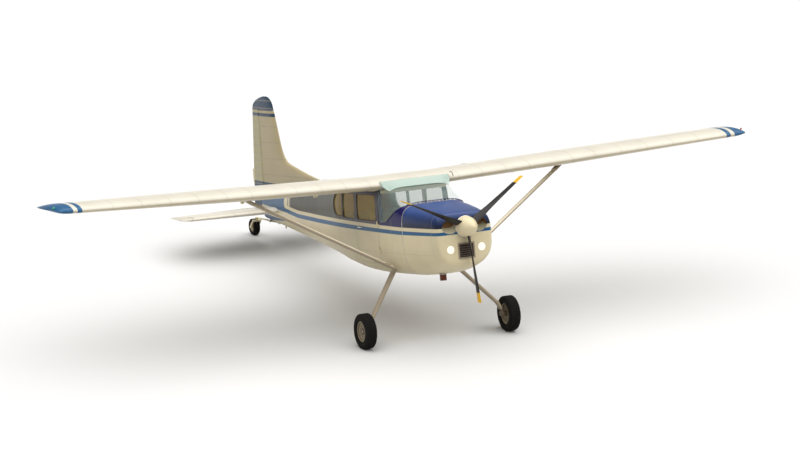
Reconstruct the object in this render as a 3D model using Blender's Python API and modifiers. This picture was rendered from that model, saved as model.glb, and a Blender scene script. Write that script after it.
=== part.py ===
"""Light aircraft: high wing on lift struts, one engine, two main wheels and a tail wheel.

Metres, +Z up. The nose points to -Y and the port side to +X.
The airframe is laid out level: X to port, Y aft of the firewall, Z above the propeller's axis.
One empty then pitches it nose-up, until all three tyres stand on the ground at Z = 0.
"""
import math

import bmesh
import bpy
from mathutils import Matrix, Vector

# Clearances
GAP = 0.0003              # between solids that touch
RUNNING_GAP = 0.006       # between solids that move past each other
BAY_GAP = 0.0075          # ahead of a control surface's round nose
BEARING_GAP = 0.0005      # round a shaft in its bearing

# Fuselage
NOSE_Y = -0.965
COWL_REAR_Y = -0.0123
FIREWALL_FRONT_Y = -0.012
CABIN_REAR_Y = 2.55
TAIL_END_Y = 6.005
TAIL_HOLLOW_END_Y = 5.100
WALL = 0.030
COWL_WALL = 0.012
TAIL_WALL = 0.020
BODY_POINTS = 28
# Columns: y, half width, height of the widest line, top, bottom, squareness above, below
BODY = (
    (-0.965, 0.385, -0.165, 0.150, -0.520, 3.4, 2.5),
    (-0.930, 0.425, -0.160, 0.185, -0.560, 3.8, 2.6),
    (-0.850, 0.446, -0.152, 0.212, -0.600, 4.2, 2.5),
    (-0.600, 0.480, -0.135, 0.245, -0.665, 4.5, 2.6),
    (-0.300, 0.515, -0.120, 0.280, -0.705, 4.5, 2.9),
    (0.000, 0.540, -0.110, 0.315, -0.725, 4.5, 3.4),
    (0.300, 0.555, -0.100, 0.450, -0.730, 5.0, 3.6),
    (0.600, 0.565, -0.100, 0.578, -0.730, 6.0, 3.8),
    (1.000, 0.567, -0.100, 0.620, -0.730, 7.0, 4.0),
    (1.600, 0.560, -0.090, 0.590, -0.700, 7.0, 4.0),
    (2.230, 0.525, -0.070, 0.545, -0.632, 5.5, 3.6),
    (2.550, 0.490, -0.050, 0.520, -0.593, 4.2, 3.2),
    (3.600, 0.367, -0.005, 0.450, -0.457, 3.0, 3.0),
    (4.800, 0.227, 0.035, 0.345, -0.313, 2.8, 2.8),
    (6.100, 0.080, 0.045, 0.240, -0.160, 2.6, 2.6),
)

# Glass and doors
GLASS_INSET = 0.006
GLASS_THICKNESS = 0.006
WINDSHIELD = ((0.012, 0.300), (0.040, 0.300), (0.465, 0.058), (0.725, 0.045),
              (0.740, 0.450), (0.740, 0.800), (0.012, 0.800))
DOOR = (0.765, 1.515, -0.560, 0.455)            # front, rear, bottom, top
DOOR_WINDOW = (0.815, 1.465, 0.060, 0.425)
MID_WINDOW = (1.555, 2.020, 0.065, 0.425)
REAR_WINDOW = (2.058, 2.420, 0.080, 0.415)
REAR_WINDOW_ROUND = 0.150
HINGE_X = 0.5775
HINGE_Y = 0.762
HINGE_HEIGHTS = (-0.350, 0.020)
KNUCKLE_RADIUS = 0.009
KNUCKLE_LENGTH = 0.040
DOOR_LEAF = (0.767, 0.807)
SHELL_LEAF = (0.717, 0.760)

# Wing
DIHEDRAL = math.radians(1.73)
WING_ROOT_X = 0.560
WING_ROOT_Z = 0.570
CHORD_POINTS = 8
# Columns: station outboard of the root rib, leading edge y, chord, incidence in degrees
WING_RIBS = (
    (0.000, 0.600, 1.630, 1.5),
    (1.981, 0.600, 1.630, 1.5),
    (4.722, 0.700, 1.100, -1.5),
)
# Columns: station, leading edge y, trailing edge y, share of the tip rib's thickness
WING_TIP = (
    (4.800, 0.708, 1.770, 0.90),
    (4.860, 0.726, 1.640, 0.70),
    (4.892, 0.755, 1.420, 0.45),
    (4.903, 0.800, 1.200, 0.15),
)
FLAP_STATIONS = (0.070, 1.950)
FLAP_CHORD_SHARE = 0.24
AILERON_STATIONS = (1.975, 4.715)
AILERON_CHORD_SHARE = 0.20
AILERON_PIN_RADIUS = 0.008
FLAP_PIVOT_DROP = 0.150
FLAP_PIVOT_AFT = 0.050
FLAP_BRACKETS = (0.450, 1.600)
BRACKET_THICKNESS = 0.010
# Side views of a flap's two hinge arms, as (y, z) from the pivot
FIXED_ARM = ((-0.280, 0.170), (-0.124, 0.150), (-0.099, 0.060), (0.020, 0.020),
             (0.020, -0.020), (-0.020, -0.020), (-0.160, 0.040))
MOVING_ARM = ((-0.020, -0.020), (0.020, -0.020), (0.130, 0.055), (0.100, 0.135), (-0.010, 0.130))

# Lift struts
STRUT_FOOT = (0.500, 0.390, -0.625)
STRUT_HEAD = (2.600, 1.003, 0.615)
STRUT_HALF_CHORD = 0.058
STRUT_HALF_THICKNESS = 0.025

# Tie-down lugs: thin plates with a flat side face and a rope hole
LUG_THICKNESS = 0.008
LUG_HALF_LENGTH = 0.022
LUG_HOLE_RADIUS = 0.009
LUG_HOLE_RISE = 0.017                            # hole's centre above the lug's foot
WING_LUG = (2.620, 1.010, 0.495, 0.600)          # inner face x, middle y, foot z, top z
TAIL_LUG = (-0.004, 5.380, -0.305, -0.220)

# Tail
FIN_REAR_Y = 6.000
RUDDER_HINGE_Y = 6.048
# Columns: z, leading edge y, half thickness
FIN = (
    (0.200, 3.700, 0.050),
    (0.440, 3.850, 0.048),
    (0.542, 4.380, 0.046),
    (0.613, 4.738, 0.044),
    (0.686, 5.068, 0.042),
    (0.755, 5.190, 0.041),
    (0.845, 5.272, 0.040),
    (0.970, 5.332, 0.038),
    (1.370, 5.464, 0.032),
    (1.460, 5.495, 0.030),
)
RUDDER_FOOT_Z = -0.143                            # under the hinge
RUDDER_FOOT_SLOPE = 0.38
RUDDER_FOOT_REAR_Y = 6.490
RUDDER_REAR_AT_AXIS_Y = 6.485                     # trailing edge level with the propeller's axis
# Columns: z, leading edge y, trailing edge y, half thickness
RUDDER_HORN = (
    (1.4675, 5.500, 6.288, 0.030),
    (1.546, 5.524, 6.250, 0.027),
    (1.617, 5.580, 6.117, 0.021),
    (1.655, 5.650, 5.970, 0.014),
    (1.674, 5.720, 5.850, 0.006),
)
STABILISER_Z = -0.015
ELEVATOR_HINGE_Y = 5.900
# Columns: x, leading edge y, half thickness
STABILISER = ((0.000, 5.200, 0.050), (1.490, 5.365, 0.032))
# Columns: x, nose radius, trailing edge y
ELEVATOR = ((0.130, 0.034, 6.180), (0.250, 0.033, 6.370), (1.540, 0.022, 6.150))
# Columns: x, leading edge y, trailing edge y, half thickness
ELEVATOR_HORN = (
    (1.4975, 5.366, 6.157, 0.031),
    (1.545, 5.372, 6.145, 0.027),
    (1.605, 5.385, 5.850, 0.018),
    (1.650, 5.410, 5.600, 0.006),
)
TORQUE_TUBE_RADIUS = 0.019
RUDDER_PIN_RADIUS = 0.010
RUDDER_BRACKET_TOP = -0.160

# Landing gear
MAIN_AXLE = (1.137, 0.217, -1.433)
MAIN_TYRE_RADIUS = 0.255
MAIN_TYRE_WIDTH = 0.165
MAIN_HUB_RADIUS = 0.150
MAIN_HUB_WIDTH = 0.142
TAIL_AXLE = (0.000, 6.590, -0.328)
TAIL_TYRE_RADIUS = 0.122
TAIL_TYRE_WIDTH = 0.098
TAIL_HUB_RADIUS = 0.070
AXLE_RADIUS = 0.020
AXLE_ROOT_X = 1.020
AXLE_OVERRUN = 0.012                              # past the wheel's middle
KINGPIN_TOP = (0.000, 6.460, -0.1935)
KINGPIN_RADIUS = 0.020
FORK_CROWN = (-0.050, -0.028)                     # bottom and top below the kingpin's top
FORK_HALF_DEPTH = 0.015
FORK_ARM_THICKNESS = 0.012
FORK_ARM_CLEARANCE = 0.008
TAIL_AXLE_RADIUS = 0.010
# Columns: x, y, z, half chord, half thickness
GEAR_LEG = (
    (0.360, 0.585, -0.520, 0.066, 0.022),
    (0.513, 0.518, -0.700, 0.064, 0.022),
    (0.767, 0.390, -1.000, 0.058, 0.021),
    (0.990, 0.277, -1.263, 0.053, 0.021),
    (1.028, 0.240, -1.370, 0.050, 0.020),
    (1.030, 0.217, -1.450, 0.045, 0.018),
)
LEG_SQUARENESS = 4.0
# Columns: x, y, z, half width, half thickness
TAIL_SPRING = (
    (0.000, 5.480, -0.232, 0.028, 0.012),
    (0.000, 5.950, -0.213, 0.026, 0.010),
    (0.000, 6.300, -0.194, 0.024, 0.009),
    (0.000, 6.485, -0.184, 0.024, 0.009),
)

# Propeller and engine
PROP_Y = -1.071
BLADE_ANGLES = (34.8, 154.8, 274.8)
SPINNER_REAR_Y = -0.985
SPINNER_LENGTH = 0.300
SPINNER_RADIUS = 0.152
SPINNER_POINTEDNESS = 1.4
SPINNER_SIDES = 24
SPINNER_RINGS = 6
# Columns: radius, chord, half thickness, pitch in degrees
BLADE = (
    (0.080, 0.110, 0.028, 46.0),
    (0.200, 0.125, 0.020, 55.0),
    (0.450, 0.118, 0.013, 72.0),
    (0.750, 0.122, 0.009, 83.0),
    (1.000, 0.124, 0.007, 88.0),
    (1.098, 0.120, 0.006, 90.0),
)
INLET_CENTRE = (0.225, 0.010)
INLET_HALF = (0.125, 0.098)
SHAFT_RADIUS = 0.050
SHAFT_HOLE_RADIUS = 0.068
LIGHT_CENTRE = (0.243, -0.312)
LIGHT_RADIUS = 0.060
GRILLE = (-0.130, 0.130, -0.455, -0.225)        # port-to-starboard and bottom-to-top edges
GRILLE_SLOTS = 5
GRILLE_RIM = 0.026
GRILLE_SLAT = 0.016
EXHAUST_CENTRE = (-0.135, -0.400)
EXHAUST_RADIUS = 0.048
EXHAUST_END_Z = -0.785
EXHAUST_BORE_DEPTH = 0.120
EXHAUST_WALL = 0.008
ENGINE = (0.360, -0.800, -0.140, -0.230, 0.060)   # half width, front, rear, bottom, top
ACCESSORY_CASE = (0.200, -0.170, 0.030)           # half width, bottom, top

# Cabin
FLOOR_TOP_Z = -0.600
PANEL = (0.300, 0.345, -0.160, 0.255)            # front, rear, bottom, top
# Columns: name, half width, cushion front y, back's front y, back's rear y, cushion top z, back's top z
SEAT_ROWS = (
    ("front_seat", 0.440, 0.900, 1.330, 1.440, -0.260, 0.190),
    ("middle_seat", 0.430, 1.590, 1.950, 2.050, -0.270, 0.150),
    ("rear_seat", 0.380, 2.130, 2.400, 2.480, -0.270, 0.130),
)
SEAT_LEAN = 0.030
YOKE_X = 0.240
YOKE_Z = 0.020
YOKE_REACH_Y = 0.540
YOKE_SHAFT_RADIUS = 0.012
YOKE_GRIP_RADIUS = 0.014
# The grip's line from one horn to the other, as (x, z) from the shaft
YOKE_GRIP = ((-0.130, 0.090), (-0.140, 0.000), (-0.090, -0.040),
             (0.090, -0.040), (0.140, 0.000), (0.130, 0.090))


def pitch_on_gear():
    """The nose-up angle at which the main and tail tyres touch one level ground."""
    run = TAIL_AXLE[1] - MAIN_AXLE[1]
    rise = TAIL_AXLE[2] - MAIN_AXLE[2]
    radii = MAIN_TYRE_RADIUS - TAIL_TYRE_RADIUS
    return math.atan2(rise, run) + math.asin(radii / math.hypot(run, rise))


ATTITUDE = pitch_on_gear()


def parked_matrix():
    """Airframe coordinates to the part's frame, before it is centred fore and aft."""
    tilt = Matrix.Rotation(-ATTITUDE, 4, "X")
    axle = tilt @ Vector(MAIN_AXLE)
    return Matrix.Translation((0, 0, MAIN_TYRE_RADIUS - axle.z)) @ tilt


def fore_and_aft_centre():
    """Half way between the low blade's tip and the tail tyre's rear when parked."""
    parked = parked_matrix()
    radius, chord = BLADE[-1][:2]
    low = min(math.sin(math.radians(angle)) for angle in BLADE_ANGLES)
    nose = parked @ Vector((0, PROP_Y - chord / 2, radius * low))
    tail = (parked @ Vector(TAIL_AXLE)).y + TAIL_TYRE_RADIUS
    return (nose.y + tail) / 2


def rudder_rear(z):
    """Trailing edge of the rudder at height z."""
    top, top_rear = RUDDER_HORN[0][0], RUDDER_HORN[0][2]
    return RUDDER_REAR_AT_AXIS_Y + (top_rear - RUDDER_REAR_AT_AXIS_Y) * z / top


# Scene and placing
for old in list(bpy.data.objects):
    bpy.data.objects.remove(old, do_unlink=True)


def new_collection(name):
    made = bpy.data.collections.new(name)
    bpy.context.scene.collection.children.link(made)
    return made


PARTS = new_collection("light_aircraft")
CUTTERS = new_collection("cutters")
FRAMES = {}


def add_frame(name, matrix, parent="airframe"):
    """An empty at a place on the airframe; pieces hang on it by its name."""
    empty = bpy.data.objects.new(name, None)
    empty.empty_display_size = 0.1
    PARTS.objects.link(empty)
    if parent in FRAMES:
        empty.parent = FRAMES[parent][0]
        empty.matrix_local = FRAMES[parent][1].inverted() @ matrix
    else:
        empty.matrix_world = matrix
        matrix = Matrix.Identity(4)
    FRAMES[name] = (empty, matrix)


def material(name, colour, roughness, metallic=0.0, alpha=1.0):
    made = bpy.data.materials.new(name)
    made.use_nodes = True
    shader = made.node_tree.nodes["Principled BSDF"]
    shader.inputs["Base Color"].default_value = (*colour, 1)
    shader.inputs["Roughness"].default_value = roughness
    shader.inputs["Metallic"].default_value = metallic
    shader.inputs["Alpha"].default_value = alpha
    return made


CREAM = material("cream_paint", (0.72, 0.66, 0.52), 0.35)
BLUE = material("blue_paint", (0.04, 0.19, 0.58), 0.35)
NAVY = material("navy_paint", (0.005, 0.008, 0.13), 0.30)
GLASS = material("tinted_glass", (0.55, 0.68, 0.62), 0.05, alpha=0.35)
RUBBER = material("black_rubber", (0.015, 0.013, 0.012), 0.85)
HUB = material("tan_hub", (0.52, 0.42, 0.28), 0.45, 0.2)
BLACK = material("black_paint", (0.010, 0.009, 0.008), 0.40)
STEEL = material("bare_steel", (0.45, 0.44, 0.42), 0.35, 1.0)
RUST = material("exhaust_steel", (0.16, 0.045, 0.015), 0.65, 0.6)
LAMP = material("lamp_glass", (0.95, 0.90, 0.75), 0.08)
BRONZE = material("grille_bronze", (0.10, 0.07, 0.05), 0.50, 0.3)
TRIM = material("orange_trim", (0.42, 0.17, 0.035), 0.80)
FABRIC = material("olive_fabric", (0.22, 0.19, 0.11), 0.90)


def moved(mesh, matrix):
    """The mesh after a change of frame, still with its faces pointing out."""
    mesh.transform(matrix)
    if matrix.determinant() < 0:
        mesh.flip_normals()
    return mesh


def mirror(side):
    return Matrix.Scale(side, 4, (1, 0, 0))


def add_object(name, mesh, frame, side, collection):
    """An object from a mesh laid out in airframe coordinates on the port side."""
    empty, place = FRAMES[frame]
    moved(mesh, place.inverted() @ mirror(side))
    made = bpy.data.objects.new(name, mesh)
    collection.objects.link(made)
    made.parent = empty
    return made


def add_part(name, mesh, finish, frame="airframe", side=1, smooth=30):
    made = add_object(name, mesh, frame, side, PARTS)
    mesh.materials.append(finish)
    mesh.shade_smooth()
    mesh.set_sharp_from_angle(angle=math.radians(smooth))
    return made


def add_cutter(name, mesh, frame="airframe", side=1):
    made = add_object(name, mesh, frame, side, CUTTERS)
    made.hide_render = True
    made.display_type = "WIRE"
    return made


def boolean(target, operation, other):
    step = target.modifiers.new(other.name, "BOOLEAN")
    step.operation = operation
    step.object = other
    return target


def cut(target, mesh, name, frame="airframe", side=1):
    return boolean(target, "DIFFERENCE", add_cutter(name, mesh, frame, side))


def keep(target, mesh, name, frame="airframe", side=1):
    return boolean(target, "INTERSECT", add_cutter(name, mesh, frame, side))


def join(target, mesh, name, frame="airframe", side=1):
    return boolean(target, "UNION", add_cutter(name, mesh, frame, side))


def side_name(name, side):
    return name + ("_left" if side > 0 else "_right")


# Basic meshes
def mesh_from(builder):
    mesh = bpy.data.meshes.new("shape")
    bmesh.ops.recalc_face_normals(builder, faces=builder.faces)
    builder.to_mesh(mesh)
    builder.free()
    return mesh


def loft(rings):
    """A closed solid through rings of equally many points."""
    builder = bmesh.new()
    rows = [[builder.verts.new(point) for point in ring] for ring in rings]
    count = len(rows[0])
    for near, far in zip(rows, rows[1:]):
        for i in range(count):
            j = (i + 1) % count
            builder.faces.new((near[i], near[j], far[j], far[i]))
    builder.faces.new(rows[0])
    builder.faces.new(rows[-1])
    bmesh.ops.triangulate(builder, faces=[face for face in builder.faces if len(face.verts) == 4])
    return mesh_from(builder)


def box(x, y, z):
    """A box between two values of each coordinate."""
    builder = bmesh.new()
    size = (x[1] - x[0], y[1] - y[0], z[1] - z[0])
    centre = ((x[0] + x[1]) / 2, (y[0] + y[1]) / 2, (z[0] + z[1]) / 2)
    matrix = Matrix.Translation(centre) @ Matrix.Diagonal((*size, 1))
    bmesh.ops.create_cube(builder, size=1, matrix=matrix)
    return mesh_from(builder)


def rod(start, end, radius, segments=16, end_radius=None):
    """A cylinder or cone between two points."""
    start, end = Vector(start), Vector(end)
    along = end - start
    matrix = (Matrix.Translation((start + end) / 2)
              @ along.to_track_quat("Z", "Y").to_matrix().to_4x4())
    builder = bmesh.new()
    bmesh.ops.create_cone(builder, cap_ends=True, segments=segments, radius1=radius,
                          radius2=radius if end_radius is None else end_radius,
                          depth=along.length, matrix=matrix)
    return mesh_from(builder)


def prism(outline, x0, x1):
    """A side-view outline of (y, z) points, extruded across the aircraft."""
    return loft([[(x, y, z) for y, z in outline] for x in (x0, x1)])


def oval(centre, across, up, half_across, half_up, points=12, squareness=2.0):
    """A ring round a centre, in the plane of two directions. A squareness over 2 fills its corners."""
    centre, across, up = Vector(centre), Vector(across).normalized(), Vector(up).normalized()
    ring = []
    for i in range(points):
        turn = 2 * math.pi * i / points
        share, rise = (math.copysign(abs(v) ** (2 / squareness), v) for v in (math.cos(turn), math.sin(turn)))
        ring.append(centre + across * (half_across * share) + up * (half_up * rise))
    return ring


def turned(name, profile, finish, frame, steps, matrix=None):
    """A profile of (radius, height) points turned about its own Z axis by a Screw modifier."""
    mesh = bpy.data.meshes.new(name)
    points = [(radius, 0, height) for radius, height in profile]
    edges = [(i, i + 1) for i in range(len(points) - 1)]
    if profile[0][0] > 0:
        edges.append((len(points) - 1, 0))
    mesh.from_pydata(points, edges, [])
    mesh.materials.append(finish)
    made = bpy.data.objects.new(name, mesh)
    PARTS.objects.link(made)
    made.parent = FRAMES[frame][0]
    if matrix:
        made.matrix_local = FRAMES[frame][1].inverted() @ matrix
    screw = made.modifiers.new("turn", "SCREW")
    screw.steps = steps
    screw.render_steps = steps
    screw.use_merge_vertices = True
    screw.merge_threshold = 0.0001
    screw.use_normal_calculate = False
    screw.use_smooth_shade = True
    return made


# Fuselage surfaces
def power(value, exponent):
    return math.copysign(abs(value) ** exponent, value)


def body_row(y):
    """The fuselage table read at any y."""
    for near, far in zip(BODY, BODY[1:]):
        if y <= far[0]:
            share = (y - near[0]) / (far[0] - near[0])
            return [a + (b - a) * share for a, b in zip(near, far)]
    return list(BODY[-1])


def body_ring(y, grow):
    _, half, widest, top, bottom, above, below = body_row(y)
    ring = []
    for i in range(BODY_POINTS):
        turn = 2 * math.pi * (i + 0.5) / BODY_POINTS
        upper = math.sin(turn) > 0
        squareness = above if upper else below
        height = (top - widest if upper else widest - bottom) + grow
        ring.append(((half + grow) * power(math.cos(turn), 2 / squareness), y,
                     widest + height * power(math.sin(turn), 2 / squareness)))
    return ring


def body(y0, y1, grow=0.0):
    """The fuselage between two stations, grown or shrunk all round."""
    stations = [y0] + [row[0] for row in BODY if y0 < row[0] < y1] + [y1]
    return loft([body_ring(y, grow) for y in stations])


# Wing surfaces
def aerofoil_height(share, surface):
    """Height of a 2412 section over its chord, at a share of the chord; surface is 1 or -1."""
    camber, place, thickness = 0.02, 0.40, 0.12
    x = share
    half = 5 * thickness * (0.2969 * math.sqrt(x) - 0.1260 * x - 0.3516 * x ** 2
                            + 0.2843 * x ** 3 - 0.1015 * x ** 4)
    if x < place:
        line = camber / place ** 2 * (2 * place * x - x ** 2)
    else:
        line = camber / (1 - place) ** 2 * (1 - 2 * place + 2 * place * x - x ** 2)
    return line + surface * half


def chord_shares():
    return [(1 - math.cos(math.pi * i / CHORD_POINTS)) / 2 for i in range(CHORD_POINTS + 1)]


def wing_row(station):
    for near, far in zip(WING_RIBS, WING_RIBS[1:]):
        if station <= far[0]:
            share = (station - near[0]) / (far[0] - near[0])
            return [a + (b - a) * share for a, b in zip(near, far)]
    return list(WING_RIBS[-1])


def wing_point(station, share, surface, thickness=1.0, grow=0.0):
    """A point of the wing's skin, in the wing's own frame."""
    _, lead, chord, incidence = wing_row(station)
    return section_point(station, lead, chord, incidence, share, surface, thickness, grow)


def section_point(station, lead, chord, incidence, share, surface, thickness=1.0, grow=0.0):
    middle = (aerofoil_height(share, 1) + aerofoil_height(share, -1)) / 2
    height = (middle + (aerofoil_height(share, surface) - middle) * thickness) * chord
    along = share * chord + grow * (2 * share - 1)
    if share == 0:
        along -= grow
    else:
        height += surface * grow
    tilt = math.radians(incidence)
    return (station, lead + along * math.cos(tilt) + height * math.sin(tilt),
            height * math.cos(tilt) - along * math.sin(tilt))


def wing_ring(station, grow=0.0):
    shares = chord_shares()
    over = [wing_point(station, s, 1, grow=grow) for s in reversed(shares)]
    under = [wing_point(station, s, -1, grow=grow) for s in shares[1:]]
    return over + under


def tip_ring(station, lead, rear, thickness):
    _, root_lead, root_chord, incidence = WING_RIBS[-1]
    lift = (lead - root_lead) * math.sin(math.radians(-incidence))
    shares = chord_shares()
    ring = [section_point(station, lead, rear - lead, incidence, s, 1, thickness) for s in reversed(shares)]
    ring += [section_point(station, lead, rear - lead, incidence, s, -1, thickness) for s in shares[1:]]
    return [(x, y, z + lift) for x, y, z in ring]


def in_wing(mesh):
    """From the wing's own frame to airframe coordinates, on the port side."""
    return moved(mesh, WING_FRAME)


WING_FRAME = Matrix.Translation((WING_ROOT_X, 0, WING_ROOT_Z)) @ Matrix.Rotation(-DIHEDRAL, 4, "Y")


def hinge_point(station, chord_share):
    """Middle of the wing's thickness where a control surface is hinged, and half that thickness."""
    share = 1 - chord_share
    over = Vector(wing_point(station, share, 1))
    under = Vector(wing_point(station, share, -1))
    return (over + under) / 2, (over - under).length / 2


def surface_ring(station, chord_share):
    """A control surface's section: a round nose on the hinge and the wing's own skin behind."""
    centre, radius = hinge_point(station, chord_share)
    _, _, _, incidence = wing_row(station)
    tilt = -math.radians(incidence)
    nose = []
    for i in range(5):
        turn = math.pi / 2 + math.pi * i / 4 + tilt
        nose.append((station, centre.y + radius * math.cos(turn), centre.z + radius * math.sin(turn)))
    start = 1 - chord_share
    under = [wing_point(station, start + (1 - start) * s, -1) for s in (0.5, 1.0)]
    over = [wing_point(station, start + (1 - start) * s, 1) for s in (1.0, 0.5)]
    return nose + under + over


def bay(stations, chord_share, outward=RUNNING_GAP):
    """The space cut from the wing for a control surface, run past its outer end by a distance."""
    fronts = []
    for station in stations:
        centre, radius = hinge_point(station, chord_share)
        fronts.append(centre.y - radius - BAY_GAP)
    slope = (fronts[1] - fronts[0]) / (stations[1] - stations[0])
    rings = []
    for station, front, out in zip(stations, fronts, (-RUNNING_GAP, outward)):
        front += slope * out
        corners = ((front, -0.4), (front + 1.0, -0.4), (front + 1.0, 0.4), (front, 0.4))
        rings.append([(station + out, y, z) for y, z in corners])
    return loft(rings)


# Sections of the tail surfaces
def streamlined(lead, rear, half):
    """(along, across) points of a symmetric section with a cut-off rear edge."""
    chord = rear - lead
    steps = ((0.0, 0.0), (0.02, 0.45), (0.10, 0.80), (0.30, 1.0), (0.65, 0.88), (1.0, 0.62))
    upper = [(lead + share * chord, thick * half) for share, thick in steps]
    return upper + [(along, -across) for along, across in reversed(upper[1:])]


def tapered(lead, rear, half):
    """(along, across) points of a symmetric section with a thin rear edge."""
    chord = rear - lead
    steps = ((0.0, 0.0), (0.03, 0.45), (0.12, 0.85), (0.32, 1.0), (0.65, 0.62), (1.0, 0.10))
    upper = [(lead + share * chord, thick * half) for share, thick in steps]
    return upper + [(along, -across) for along, across in reversed(upper[1:])]


def nosed(hinge, rear, radius, edge=0.003):
    """(along, across) points of a section that is round about its hinge and thin behind."""
    arc = [math.pi / 2 + math.pi * i / 6 for i in range(7)]
    return ([(hinge + radius * math.cos(t), radius * math.sin(t)) for t in arc]
            + [(rear, -edge), (rear, edge)])


def build_frames():
    parked = Matrix.Translation((0, -fore_and_aft_centre(), 0)) @ parked_matrix()
    add_frame("airframe", parked)
    add_frame("propeller_axis", Matrix.Translation((0, PROP_Y, 0)))
    add_frame("rudder_axis", Matrix.Translation((0, RUDDER_HINGE_Y, 0)))
    add_frame("elevator_axis", Matrix.Translation((0, ELEVATOR_HINGE_Y, STABILISER_Z)))
    upright = Matrix.Rotation(ATTITUDE, 4, "X")
    add_frame("tail_swivel_axis", Matrix.Translation(KINGPIN_TOP) @ upright)
    add_frame("tail_wheel_axis", Matrix.Translation(TAIL_AXLE), "tail_swivel_axis")
    for side in (1, -1):
        x, y, z = MAIN_AXLE
        add_frame(side_name("main_wheel_axis", side), Matrix.Translation((side * x, y, z)))
        add_frame(side_name("door_axis", side), Matrix.Translation((side * HINGE_X, HINGE_Y, 0)))
        for name, points in (("aileron_axis", aileron_axis()), ("flap_axis", flap_axis())):
            start, end = (mirror(side) @ WING_FRAME @ point for point in points)
            turn = (end - start).to_track_quat("X", "Z").to_matrix().to_4x4()
            add_frame(side_name(name, side), Matrix.Translation(start) @ turn)


def aileron_axis():
    return [hinge_point(station, AILERON_CHORD_SHARE)[0] for station in AILERON_STATIONS]


def flap_axis():
    offset = Vector((0, FLAP_PIVOT_AFT, -FLAP_PIVOT_DROP))
    return [hinge_point(station, FLAP_CHORD_SHARE)[0] + offset for station in FLAP_STATIONS]


def build_cowling():
    cowl = add_part("engine_cowling", body(NOSE_Y, COWL_REAR_Y), CREAM)
    cut(cowl, body(NOSE_Y + COWL_WALL, 0.05, -COWL_WALL), "cowl_space")
    through = (NOSE_Y - 0.05, NOSE_Y + 0.05)
    for side in (1, -1):
        x, z = INLET_CENTRE
        rings = [oval((x, y, z), (1, 0, 0), (0, 0, 1), *INLET_HALF, 20) for y in through]
        cut(cowl, loft(rings), side_name("inlet_hole", side), side=side)
        x, z = LIGHT_CENTRE
        lamp_hole = rod((x, through[0], z), (x, through[1], z), LIGHT_RADIUS + 2 * GAP, 20)
        cut(cowl, lamp_hole, side_name("light_hole", side), side=side)
        lens = rod((x, NOSE_Y - 0.012, z), (x, NOSE_Y + 0.030, z), LIGHT_RADIUS, 20)
        add_part(side_name("landing_light", side), lens, LAMP, side=side)
    cut(cowl, rod((0, through[0], 0), (0, through[1], 0), SHAFT_HOLE_RADIUS, 20), "shaft_hole")
    left, right, bottom, top = GRILLE
    cut(cowl, box((left - GAP, right + GAP), through, (bottom - GAP, top + GAP)), "grille_hole")
    x, y = EXHAUST_CENTRE
    pipe_hole = rod((x, y, EXHAUST_END_Z), (x, y, EXHAUST_END_Z + 0.25), EXHAUST_RADIUS + 2 * GAP, 20)
    cut(cowl, pipe_hole, "exhaust_hole")


def build_grille():
    left, right, bottom, top = GRILLE
    front, rear = NOSE_Y - 0.014, NOSE_Y + 0.022
    frame = add_part("intake_grille", box((left, right), (front, rear), (bottom, top)), BRONZE)
    pitch = (top - bottom - 2 * GRILLE_RIM) / GRILLE_SLOTS
    for i in range(GRILLE_SLOTS):
        low = bottom + GRILLE_RIM + pitch * i
        height = (low + GRILLE_SLAT / 2, low + pitch - GRILLE_SLAT / 2)
        slot = box((left + GRILLE_RIM, right - GRILLE_RIM), (front - 0.03, rear + 0.03), height)
        cut(frame, slot, "grille_slot_%d" % i)


def build_engine():
    half, front, rear, bottom, top = ENGINE
    block = add_part("engine_block", box((-half, half), (front, rear), (bottom, top)), STEEL)
    case_half, case_bottom, case_top = ACCESSORY_CASE
    case = box((-case_half, case_half), (rear - 0.02, FIREWALL_FRONT_Y - GAP), (case_bottom, case_top))
    join(block, case, "accessory_case")
    shaft = rod((0, front + 0.02, 0), (0, SPINNER_REAR_Y + GAP, 0), SHAFT_RADIUS, 20)
    join(block, shaft, "crankshaft")
    x, y = EXHAUST_CENTRE
    pipe = rod((x, y, bottom - GAP), (x, y, EXHAUST_END_Z), EXHAUST_RADIUS, 20)
    exhaust = add_part("exhaust_pipe", pipe, RUST)
    bore_top = EXHAUST_END_Z + EXHAUST_BORE_DEPTH
    bore = rod((x, y, EXHAUST_END_Z - 0.05), (x, y, bore_top), EXHAUST_RADIUS - EXHAUST_WALL, 20)
    cut(exhaust, bore, "exhaust_bore")


def rounded_rear(front, rear, bottom, top, radius):
    """A window's side outline whose rear corners are round."""
    outline = [(front, top), (front, bottom)]
    for centre_z, start in ((bottom + radius, -90), (top - radius, 0)):
        for i in range(6):
            turn = math.radians(start + 18 * i)
            outline.append((rear - radius + radius * math.cos(turn), centre_z + radius * math.sin(turn)))
    return outline


def rectangle(front, rear, bottom, top, grow=0.0):
    return [(front - grow, bottom - grow), (rear + grow, bottom - grow),
            (rear + grow, top + grow), (front - grow, top + grow)]


def rear_window(grow=0.0):
    front, rear, bottom, top = REAR_WINDOW
    return rounded_rear(front - grow, rear + grow, bottom - grow, top + grow, REAR_WINDOW_ROUND + grow)


def shrunk_windshield():
    """The windshield's side outline, a touching gap inside its opening."""
    middle_y = sum(y for y, z in WINDSHIELD) / len(WINDSHIELD)
    middle_z = sum(z for y, z in WINDSHIELD) / len(WINDSHIELD)
    return [(y + math.copysign(GAP, middle_y - y), z + math.copysign(GAP, middle_z - z))
            for y, z in WINDSHIELD]


def centre_ring(side, grow=0.0):
    """The root rib's outline on the centre section's end, square to the wing it meets."""
    ring = []
    for _, y, z in wing_ring(0.0, grow):
        ring.append((side * (WING_ROOT_X - z * math.tan(DIHEDRAL)), y, z + WING_ROOT_Z))
    return ring


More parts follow.
